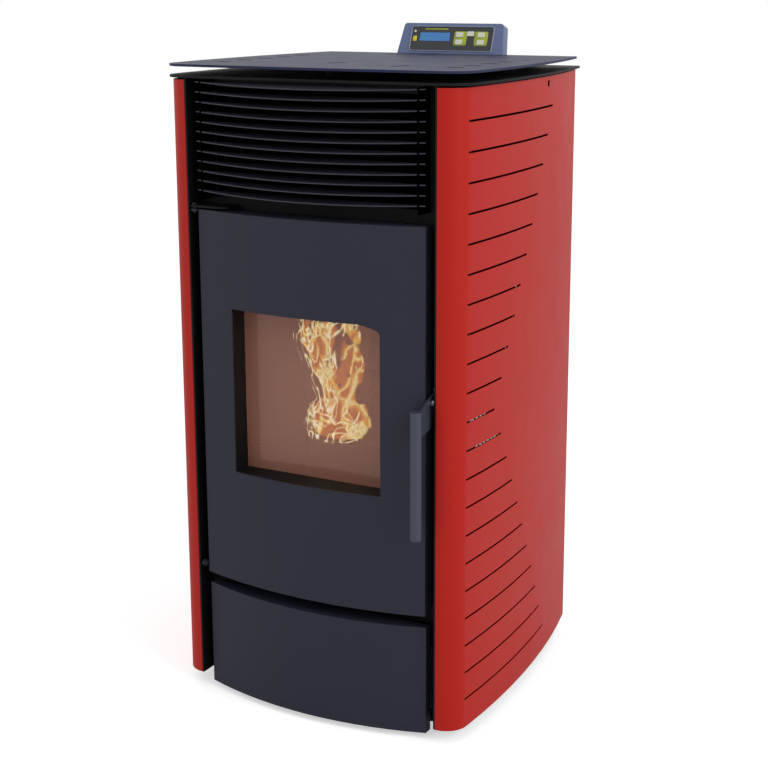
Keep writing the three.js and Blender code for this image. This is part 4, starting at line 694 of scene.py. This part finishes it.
@dataclass
class CadNodes:
    """Finishes and edge rounding of the nodes whose CAD shape is shown as it is."""

    finishes: dict[Paint, tuple[str, ...]] = field(
        default_factory=lambda: {
            Paint.RED: ("left_side_panel", "right_side_panel"),
            Paint.ANTHRACITE: ("door_skin", "ash_front"),
            Paint.HANDLE: ("door_handle",),
            Paint.LOUVRE: ("louvre_grille",),
            Paint.TOP: ("top_lid",),
            Paint.BLACK: (
                "base_plate",
                "rear_panel",
                "front_frame",
                "top_plate",
                "firebox",
                "door_frame",
                "hinge_bracket_top",
                "hinge_bracket_bottom",
                "lid_hinge_left",
                "lid_hinge_right",
                "flue_spigot",
            ),
            Paint.ZINC: (
                "ash_drawer",
                "drawer_runner_left",
                "drawer_runner_right",
                "hopper",
                "hopper_guard",
                "auger_tube",
                "drop_chute",
                "exhaust_fan_housing",
                "room_fan_housing",
                "air_intake_pipe",
                "glass_clip_left",
                "glass_clip_right",
            ),
            Paint.BRIGHT: (
                "igniter",
                "handle_bolt",
                "latch_catch_pin",
                "auger_screw",
                "exhaust_fan_impeller",
                "room_fan_rotor",
            ),
            Paint.DARK_STEEL: ("hinge_pin_top", "hinge_pin_bottom"),
            Paint.IRON: ("burn_pot",),
            Paint.VERMICULITE: ("firebox_liner",),
            Paint.ROPE: ("door_gasket",),
            Paint.BLACK_PLASTIC: (
                "auger_motor",
                "exhaust_fan_motor",
                "room_fan_motor",
                "power_inlet",
                "power_switch",
            ),
            Paint.GREY_PLASTIC: ("control_housing",),
            Paint.LABEL: ("control_fascia",),
            Paint.DISPLAY: ("control_display",),
            Paint.KEY: tuple(f"control_key_{i}" for i in range(1, 6)),
            Paint.RUBBER: (
                "foot_front_left",
                "foot_front_right",
                "foot_rear_left",
                "foot_rear_right",
                "lid_bumper",
            ),
            Paint.GLASS: ("window_glass",),
        }
    )
    edges: dict[str, Edge] = field(
        default_factory=lambda: {
            "burn_pot": Edge.CAST,
            "rear_panel": Edge.PLAIN,
            "control_housing": Edge.MOULDED,
            "door_handle": Edge.MOULDED,
            "window_glass": Edge.SHARP,
            "control_display": Edge.SHARP,
            "control_fascia": Edge.SHARP,
        }
    )

    def shade_smooth(self, obj: Object) -> None:
        """Drops the flat shading that came with a CAD node, and leaves its shape alone.

        Args:
            obj: The node's object.
        """
        stored = obj.data.attributes.get("custom_normal")
        if stored:
            obj.data.attributes.remove(stored)
        obj.data.polygons.foreach_set("use_smooth", np.ones(len(obj.data.polygons), bool))

    def build(self) -> None:
        """Dresses every node and rounds its edges."""
        for paint, names in self.finishes.items():
            for name in names:
                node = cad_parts[name]
                edge = self.edges.get(name, Edge.SHEET)
                dress(node, paint)
                if edge is not Edge.PLAIN:
                    self.shade_smooth(node)
                    soften(node, edge)
        LOG.info("dressed %d CAD nodes", len(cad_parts))


# ------------------------------------------------------------------ fire


@dataclass
class Fire:
    """The fire over the burn pot: bowed sheets of flame, one behind another, that narrow at a waist.

    A sheet is a grid of points. A row's middle and half width follow the flame's shape, which is
    given at several shares of its height and runs straight between them. A point stands off the
    middle by its own share of the half width, and falls back in depth by the square of that share.
    """

    base_z: float = 0.452
    top_z: float = 0.664
    shape: tuple[Triple, ...] = (
        (0.0, -31 * MM, 45 * MM),
        (0.11, -28 * MM, 55 * MM),
        (0.22, -28 * MM, 51 * MM),
        (0.34, -25 * MM, 33 * MM),
        (0.53, -35 * MM, 46 * MM),
        (0.66, -36 * MM, 54 * MM),
        (0.80, -46 * MM, 58 * MM),
        (0.95, -39 * MM, 52 * MM),
        (1.0, -38 * MM, 44 * MM),
    )
    front_y: float = -0.172
    fall_back: float = 26 * MM
    rows: int = 80
    columns: int = 41
    top_fade: float = 4.0
    layers: tuple[tuple[str, float, float, Paint], ...] = (
        ("flame_back", 26 * MM, 1.1, Paint.FLAME),
        ("flame_middle", 13 * MM, 1.12, Paint.FLAME_THREAD),
        ("flame_front", 0.0, 1.12, Paint.FLAME_THREAD),
    )

    def sheet(self, name: str, depth: float, spread: float, paint: Paint) -> Object:
        """One sheet of flame, whose points store how far inside its rim they are.

        Args:
            name: The piece's name.
            depth: How far behind the nearest sheet it stands.
            spread: Its half width as a share of the shape's.
            paint: Its colour.

        Returns:
            The sheet, riding on the casing.
        """
        heights, across = np.linspace(0, 1, self.rows), np.linspace(-1, 1, self.columns)
        rise, share = np.meshgrid(heights, across, indexing="ij")
        knots, centres, halves = np.array(self.shape).T
        x = np.interp(rise, knots, centres) + spread * np.interp(rise, knots, halves) * share
        y = self.front_y + depth + self.fall_back * share**2
        z = self.base_z + (self.top_z - self.base_z) * rise
        points = np.stack([x, y, z], axis=-1).reshape(-1, 3)
        obj = mesh_object(name, points, grid_faces(self.rows, self.columns))
        within = np.minimum(1 - np.abs(share), self.top_fade * (1 - rise)).ravel()
        obj.data.attributes.new("share", "FLOAT", "POINT").data.foreach_set("value", within)
        return settle(obj, CASING, paint)

    def build(self) -> None:
        """Makes every sheet."""
        for name, depth, spread, paint in self.layers:
            self.sheet(name, depth, spread, paint)


# ------------------------------------------------------------------ inside the casing


@dataclass
class Inside:
    """Sheets of painted shade behind the slots and the louvres, and a braided sleeve of wires by the right
    ones.

    A side sheet of painted shade is a grid of points that follows the side panel's bow, a fixed step inside
    it.
    """

    bow_r: float = 1.709
    widest_x: float = 0.276
    widest_y: float = -0.101
    shade_sheet_step: float = 22 * MM
    shade_sheet_y: tuple[float, float] = (-0.222, 0.262)
    shade_sheet_z: tuple[float, float] = (0.034, 1.058)
    shade_sheet_grid: tuple[int, int] = (3, 16)
    sheet: float = 1.0 * MM
    louvre_shade_y: float = -0.168
    louvre_shade_half: float = 0.236
    louvre_shade_z: tuple[float, float] = (0.842, 1.058)
    louvre_shade_grid: tuple[int, int] = (5, 9)
    sleeve_step: float = 10 * MM
    sleeve_r: float = 4.6 * MM
    sleeve_rings: int = 120
    sleeve_ease: int = 4
    sleeve_places: tuple[tuple[float, float], ...] = (
        (-0.055, 0.740),
        (-0.070, 0.682),
        (-0.100, 0.635),
        (-0.088, 0.588),
        (-0.155, 0.545),
        (-0.212, 0.541),
        (-0.220, 0.518),
        (-0.205, 0.494),
        (-0.110, 0.494),
        (-0.085, 0.448),
        (-0.020, 0.350),
        (0.0275, 0.284),
        (0.0038, 0.240),
        (0.060, 0.120),
        (0.1326, 0.043),
    )

    def side_x(self, y: np.ndarray, step: float) -> np.ndarray:
        """Half the casing's width, measured a step inside the panel's outer face.

        The face is an arc. The half width is how far across the arc's centre lies, plus the root of
        the radius squared less the square of the depth's distance from the widest place.

        Args:
            y: Depths.
            step: How far inside the outer face.

        Returns:
            One half width for each depth.
        """
        r = self.bow_r - step
        return self.widest_x - self.bow_r + np.sqrt(r * r - (y - self.widest_y) ** 2)

    def shade_sheet(self, name: str, side: int) -> Object:
        """A bowed sheet of painted shade inside one side panel.

        Args:
            name: The piece's name.
            side: 1 for the right side, -1 for the left.

        Returns:
            The sheet.
        """
        rows, columns = self.shade_sheet_grid
        y, z = np.meshgrid(np.linspace(*self.shade_sheet_y, columns), np.linspace(*self.shade_sheet_z, rows))
        x = side * self.side_x(y, self.shade_sheet_step)
        points = np.stack([x, y, z], axis=-1).reshape(-1, 3)
        obj = mesh_object(name, points, grid_faces(rows, columns))
        obj.modifiers.new("sheet", "SOLIDIFY").thickness = self.sheet
        return settle(obj, CASING, Paint.PAINTED_SHADE)

    def louvre_shade(self) -> Object:
        """The plain sheet of painted shade that closes the view through the louvres.

        Returns:
            The sheet.
        """
        rows, columns = self.louvre_shade_grid
        across = np.linspace(-self.louvre_shade_half, self.louvre_shade_half, columns)
        x, z = np.meshgrid(across, np.linspace(*self.louvre_shade_z, rows))
        points = np.stack([x, np.full_like(x, self.louvre_shade_y), z], axis=-1).reshape(-1, 3)
        obj = mesh_object("air_louvre_shade", points, grid_faces(rows, columns))
        obj.modifiers.new("sheet", "SOLIDIFY").thickness = self.sheet
        return settle(obj, CASING, Paint.PAINTED_SHADE)

    def sleeve(self) -> Object:
        """The braided sleeve that runs down inside the right panel, past its given places.

        The path runs straight from place to place, and a bell-shaped running mean rounds its turns.

        Returns:
            The sleeve.
        """
        y, z = np.array(self.sleeve_places).T
        knots = np.linspace(0, 1, len(y))
        share = np.linspace(0, 1, self.sleeve_rings)
        ease = self.sleeve_ease
        smooth = np.hanning(2 * ease + 1)
        smooth /= smooth.sum()
        padded = [np.pad(np.interp(share, knots, v), ease, "edge") for v in (y, z)]
        y, z = (np.convolve(values, smooth, "valid") for values in padded)
        path = np.stack([self.side_x(y, self.sleeve_step), y, z], axis=1)
        obj = mesh_object("wire_sleeve", *swept(path, self.sleeve_r, sides=12))
        return settle(obj, CASING, Paint.SLEEVE)

    def build(self) -> None:
        """Makes the sheets of painted shade at the sides and behind the louvres, and the sleeve."""
        self.shade_sheet("side_shade_sheet_right", 1)
        self.shade_sheet("side_shade_sheet_left", -1)
        self.louvre_shade()
        self.sleeve()


# ------------------------------------------------------------------ lid


@dataclass
class LidSlotShade:
    """Painted shade for the wells of the lid's slots, as thin dark plates on its upper face.

    Places and sizes are in millimetres, turns in degrees.
    """

    places: tuple[tuple[float, float, float, float], ...] = (
        (117, -174, 40, 72),
        (-22, -134, 34, 60),
        (-84, 182, 34, 0),
        (-12, 176, 34, 0),
    )
    side_x: float = 215.0
    side_ys: tuple[float, ...] = (-175, -113, -51, 11, 73)
    side_length: float = 30.0
    width: float = 7.0
    corner_share: float = 1 / 2.1
    proud: float = 0.15
    sunk: float = 0.05

    def build(self) -> None:
        """Lays a plate of painted shade on every slot."""
        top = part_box("top_lid")[1].z
        side_slots = [(side * self.side_x, y, self.side_length, 0) for y in self.side_ys for side in (-1, 1)]
        for i, (x, y, length, turn) in enumerate([*self.places, *side_slots]):
            outline = rounded(0, 0, length / 2 * MM, self.width / 2 * MM, self.width * self.corner_share * MM)
            points, faces = slab(outline, -self.proud * MM, self.sunk * MM)
            obj = mesh_object(f"lid_slot_shade_{i + 1}", points, faces)
            obj.modifiers.new("weld", "WELD").merge_threshold = WELD_REACH
            flat = Matrix.Rotation(-math.pi / 2, 4, "X")
            spot = Matrix.Translation((x * MM, y * MM, top)) @ Matrix.Rotation(math.radians(turn), 4, "Z")
            settle(placed(obj, spot @ flat), LID, Paint.PAINTED_SHADE)


# ------------------------------------------------------------------ control panel


@dataclass
class ControlPanel:
    """What is printed and mounted on the control panel's leaning face."""

    middle_x: float = -0.009
    face_y: float = 0.248
    foot_z: float = 1.0723
    tilt_deg: float = 20.0
    label_half: float = 83 * MM
    label_low: float = 24 * MM
    label_high: float = 68 * MM
    rim: float = 3.0 * MM
    rim_proud: float = 1.6 * MM
    rim_sunk: float = 0.4 * MM
    rim_slopes: tuple[float, float] = (0.8 * MM, 1 * MM)
    rim_corner: float = 3 * MM
    bevel: float = 0.3 * MM
    print_proud: float = 0.15 * MM
    print_sunk: float = 0.05 * MM
    light_x: float = -77 * MM
    light_z: float = 60 * MM

    def on_face(self) -> Matrix:
        """Where the face is: x across it, y into it and z up it.

        Returns:
            The matrix from the face's own frame to the stove's.
        """
        lean = Matrix.Rotation(-math.radians(self.tilt_deg), 4, "X")
        return Matrix.Translation((self.middle_x, self.face_y, self.foot_z)) @ lean

    def plate(
        self, name: str, outline: np.ndarray, front: float, back: float, paint: Paint
    ) -> Object:
        """A thin plate on the face.

        Args:
            name: The piece's name.
            outline: Its outline on the face.
            front: Depth of its near side.
            back: Depth of its far side.
            paint: Its finish.

        Returns:
            The piece.
        """
        points, faces = slab(outline, front, back, inset=min(self.bevel, (back - front) / 2))
        obj = mesh_object(name, points, faces)
        obj.modifiers.new("weld", "WELD").merge_threshold = WELD_REACH
        return settle(placed(obj, self.on_face()), CASING, paint)

    def frame_rim(self) -> Object:
        """The pale raised rim round the label: four rounded rectangles, each wider than the last.

        Returns:
            The rim.
        """
        z = (self.label_low + self.label_high) / 2
        half_z = (self.label_high - self.label_low) / 2
        (inner, outer), sunk, proud = self.rim_slopes, self.rim_sunk, -self.rim_proud
        steps = [(0.0, sunk), (inner, proud), (self.rim - outer, proud), (self.rim, sunk)]
        rings = []
        for grow, depth in steps:
            outline = rounded(0, z, self.label_half + grow, half_z + grow, self.rim_corner + grow)
            rings.append(np.insert(outline, 1, depth, axis=1))
        count = len(rings[0])
        obj = mesh_object("control_rim", np.concatenate(rings), grid_faces(len(steps), count, True, True))
        return settle(placed(obj, self.on_face()), CASING, Paint.RIM_PLASTIC)

    def build(self) -> None:
        """Makes the rim, the printing round the keys, the status light and the symbols."""
        self.frame_rim()
        # Middle, half width, half height and corner radius, in millimetres on the face.
        prints = {
            "key_print_left": (18, 47, 13, 13.5, 4, Paint.GREEN_PRINT),
            "key_print_right": (60, 47, 13.5, 13.5, 4, Paint.GREEN_PRINT),
            "strip_print": (-33, 64.5, 24, 1.3, 1.2, Paint.GREEN_PRINT),
            "flame_print": (-76, 46, 4, 5, 2, Paint.YELLOW_PRINT),
        }
        for name, (x, z, half_x, half_z, r, paint) in prints.items():
            outline = rounded(x * MM, z * MM, half_x * MM, half_z * MM, r * MM)
            self.plate(name, outline, -self.print_proud, self.print_sunk, paint)
        dome = [(0.0, 0.0), (2.4, 0.0), (2.4, 0.5), (1.9, 1.1), (1.0, 1.5), (0.0, 1.6)]
        light = turned("status_light", [(r * MM, z * MM) for r, z in dome])
        spot = Matrix.Translation((self.light_x, 0, self.light_z))
        outwards = spot @ Matrix.Rotation(math.pi / 2, 4, "X")
        settle(placed(light, self.on_face() @ outwards), CASING, Paint.KEY)


# ------------------------------------------------------------------ hardware


@dataclass
class Fasteners:
    """Pan-head screws that hold the rear panel and the lid hinges."""

    head_r: float = 4.0 * MM
    head_h: float = 2.2 * MM
    recess_r: float = 1.5 * MM
    recess_depth: float = 1.2 * MM
    crown: tuple[tuple[float, float], ...] = ((1.0, 0.35), (0.92, 0.7), (0.7, 1.0))
    recess_taper: float = 0.9
    panel_rows: int = 6
    panel_inset: float = 14 * MM
    leaf_half: float = 13 * MM
    leaf_back: float = 9 * MM
    leaf_thick: float = 2 * MM
    leaf_scale: float = 0.7

    def head(self, name: str, scale: float) -> Object:
        """A screw head with a round recess, standing on z = 0.

        Args:
            name: The piece's name.
            scale: Its size as a share of the usual head.

        Returns:
            The head, at the origin.
        """
        r, h = self.head_r * scale, self.head_h * scale
        hole, deep = self.recess_r * scale, self.recess_depth * scale
        outside = [(0.0, 0.0), (r, 0.0), *((r * share, h * rise) for share, rise in self.crown)]
        recess = [(hole, h), (hole * self.recess_taper, h - deep), (0.0, h - deep)]
        return turned(name, outside + recess)

    def row(self, name: str, places: list[Vector], out: Vector, body: str, scale: float = 1.0) -> None:
        """Screws at several places that face the same way.

        Args:
            name: The pieces' name, which a number follows.
            places: Where each head's underside is.
            out: The way that the heads face.
            body: The body that they ride on.
            scale: Their size as a share of the usual head.
        """
        aim = out.to_track_quat("Z", "Y").to_matrix().to_4x4()
        for i, place in enumerate(places):
            obj = self.head(f"{name}_{i + 1}", scale)
            settle(placed(obj, Matrix.Translation(place) @ aim), body, Paint.BRIGHT)

    def build(self) -> None:
        """Sets the screws of the rear panel and the lid hinges."""
        low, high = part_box("rear_panel")
        inset = self.panel_inset
        heights = np.linspace(low.z + 2 * inset, high.z - inset, self.panel_rows)
        back = [Vector((x, high.y, z)) for x in (low.x + inset, high.x - inset) for z in heights]
        self.row("rear_screw", back, Vector((0, 1, 0)), CASING)
        low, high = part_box("lid_hinge_left")
        for side in (-1, 1):
            xs = [side * (abs(low.x + high.x) / 2 + offset) for offset in (-self.leaf_half, self.leaf_half)]
            places = [Vector((x, high.y - self.leaf_back, low.z + self.leaf_thick)) for x in xs]
            name = "hinge_screw_left" if side < 0 else "hinge_screw_right"
            self.row(name, places, Vector((0, 0, 1)), CASING, self.leaf_scale)


# ------------------------------------------------------------------ stage, light and camera


@dataclass
class Stage:
    """A white sweep of floor, soft lamps and a bright room round the stove."""

    floor_size: float = 30.0
    floor_colour: str = "#F4F4F4"
    floor_glow: float = 0.5
    room_strength: float = 0.66
    aim: Triple = (0, 0, 0.6)
    key_place: Triple = (4.1, -1.3, 2.7)
    key_power: float = 78.0
    key_size: float = 2.4
    fill_place: Triple = (-2.2, -3.4, 1.8)
    fill_power: float = 8.0
    fill_size: float = 2.6

    def floor(self) -> None:
        """Lays the floor, which shows white to the camera and keeps the stove's shadow."""
        half = self.floor_size / 2
        points = np.array([(-half, -half, 0), (half, -half, 0), (half, half, 0), (-half, half, 0)], float)
        obj = mesh_object("floor", points, np.array([[0, 1, 2, 3]]))
        material, tree, output = new_material("white studio floor")
        surface = add_node(tree, "BsdfDiffuse", {"Color": linear(self.floor_colour)})
        light = add_node(tree, "Emission", {"Color": WHITE, "Strength": self.floor_glow})
        seen = add_node(tree, "LightPath").outputs["Is Camera Ray"]
        lit = add_node(tree, "AddShader", {0: surface.outputs[0], 1: light.outputs[0]})
        mixed = add_node(tree, "MixShader", {0: seen, 1: surface.outputs[0], 2: lit.outputs[0]})
        tree.links.new(mixed.outputs[0], output.inputs["Surface"])
        obj.data.materials.append(material)

    def room(self) -> None:
        """Makes the world: a plain room light, which the camera, mirrors and glass see as white."""
        world = bpy.data.worlds.new("studio")
        world.use_nodes = True
        bpy.context.scene.world = world
        tree = world.node_tree
        tree.nodes.clear()
        path = add_node(tree, "LightPath")
        kinds = ("Camera", "Transmission", "Glossy")
        camera, through, mirrored = (path.outputs[f"Is {kind} Ray"] for kind in kinds)
        seen = add_node(tree, "Math", {0: camera, 1: through}, operation="MAXIMUM")
        shown = add_node(tree, "Math", {0: seen.outputs[0], 1: mirrored}, operation="MAXIMUM")
        soft = add_node(tree, "Background", {"Color": WHITE, "Strength": self.room_strength})
        white = add_node(tree, "Background", {"Color": WHITE, "Strength": 1.0})
        mixed = add_node(tree, "MixShader", {0: shown.outputs[0], 1: soft.outputs[0], 2: white.outputs[0]})
        out = tree.nodes.new("ShaderNodeOutputWorld")
        tree.links.new(mixed.outputs[0], out.inputs["Surface"])

    def lamp(self, name: str, place: Triple, power: float, size: float) -> None:
        """Hangs a square soft lamp that faces the stove's middle.

        Args:
            name: The lamp's name.
            place: Where it hangs.
            power: Its power in watts.
            size: Its side.
        """
        data = bpy.data.lights.new(name, "AREA")
        data.energy = power
        data.size = size
        lamp = bpy.data.objects.new(name, data)
        bpy.context.scene.collection.objects.link(lamp)
        lamp.location = place
        aim = Vector(self.aim) - Vector(place)
        lamp.rotation_euler = aim.to_track_quat("-Z", "Y").to_euler()

    def build(self) -> None:
        """Lays the floor, lights the room and hangs the lamps."""
        self.floor()
        self.room()
        self.lamp("key", self.key_place, self.key_power, self.key_size)
        self.lamp("fill", self.fill_place, self.fill_power, self.fill_size)
        bpy.context.scene.view_settings.view_transform = "Standard"


@dataclass
class Camera:
    """The camera at the photograph's viewing angle: right of the front and a little above."""

    place: Triple = (1.2708, -2.3343, 1.2199)
    azimuth_deg: float = 28.729
    pitch_deg: float = 12.772
    roll_deg: float = -0.216
    lens: float = 72.11
    shift_y: float = -0.0703

    def build(self) -> None:
        """Makes the camera and sets it as the scene's."""
        data = bpy.data.cameras.new("camera")
        data.lens = self.lens
        data.sensor_width = 36.0
        data.shift_y = self.shift_y
        data.clip_end = 100.0
        camera = bpy.data.objects.new("camera", data)
        bpy.context.scene.collection.objects.link(camera)
        a, p = math.radians(self.azimuth_deg), math.radians(self.pitch_deg)
        turn = Euler((math.pi / 2 - p, 0, a)).to_matrix().to_4x4()
        roll = Matrix.Rotation(math.radians(self.roll_deg), 4, "Z")
        camera.matrix_world = Matrix.Translation(self.place) @ turn @ roll
        bpy.context.scene.camera = camera


def main() -> None:
    """Builds the look piece by piece."""
    logging.basicConfig(level=logging.INFO, format="%(name)s: %(message)s")
    CadNodes().build()
    Fire().build()
    Inside().build()
    LidSlotShade().build()
    ControlPanel().build()
    Fasteners().build()
    Stage().build()
    Camera().build()


if __name__ == "__main__":
    main()
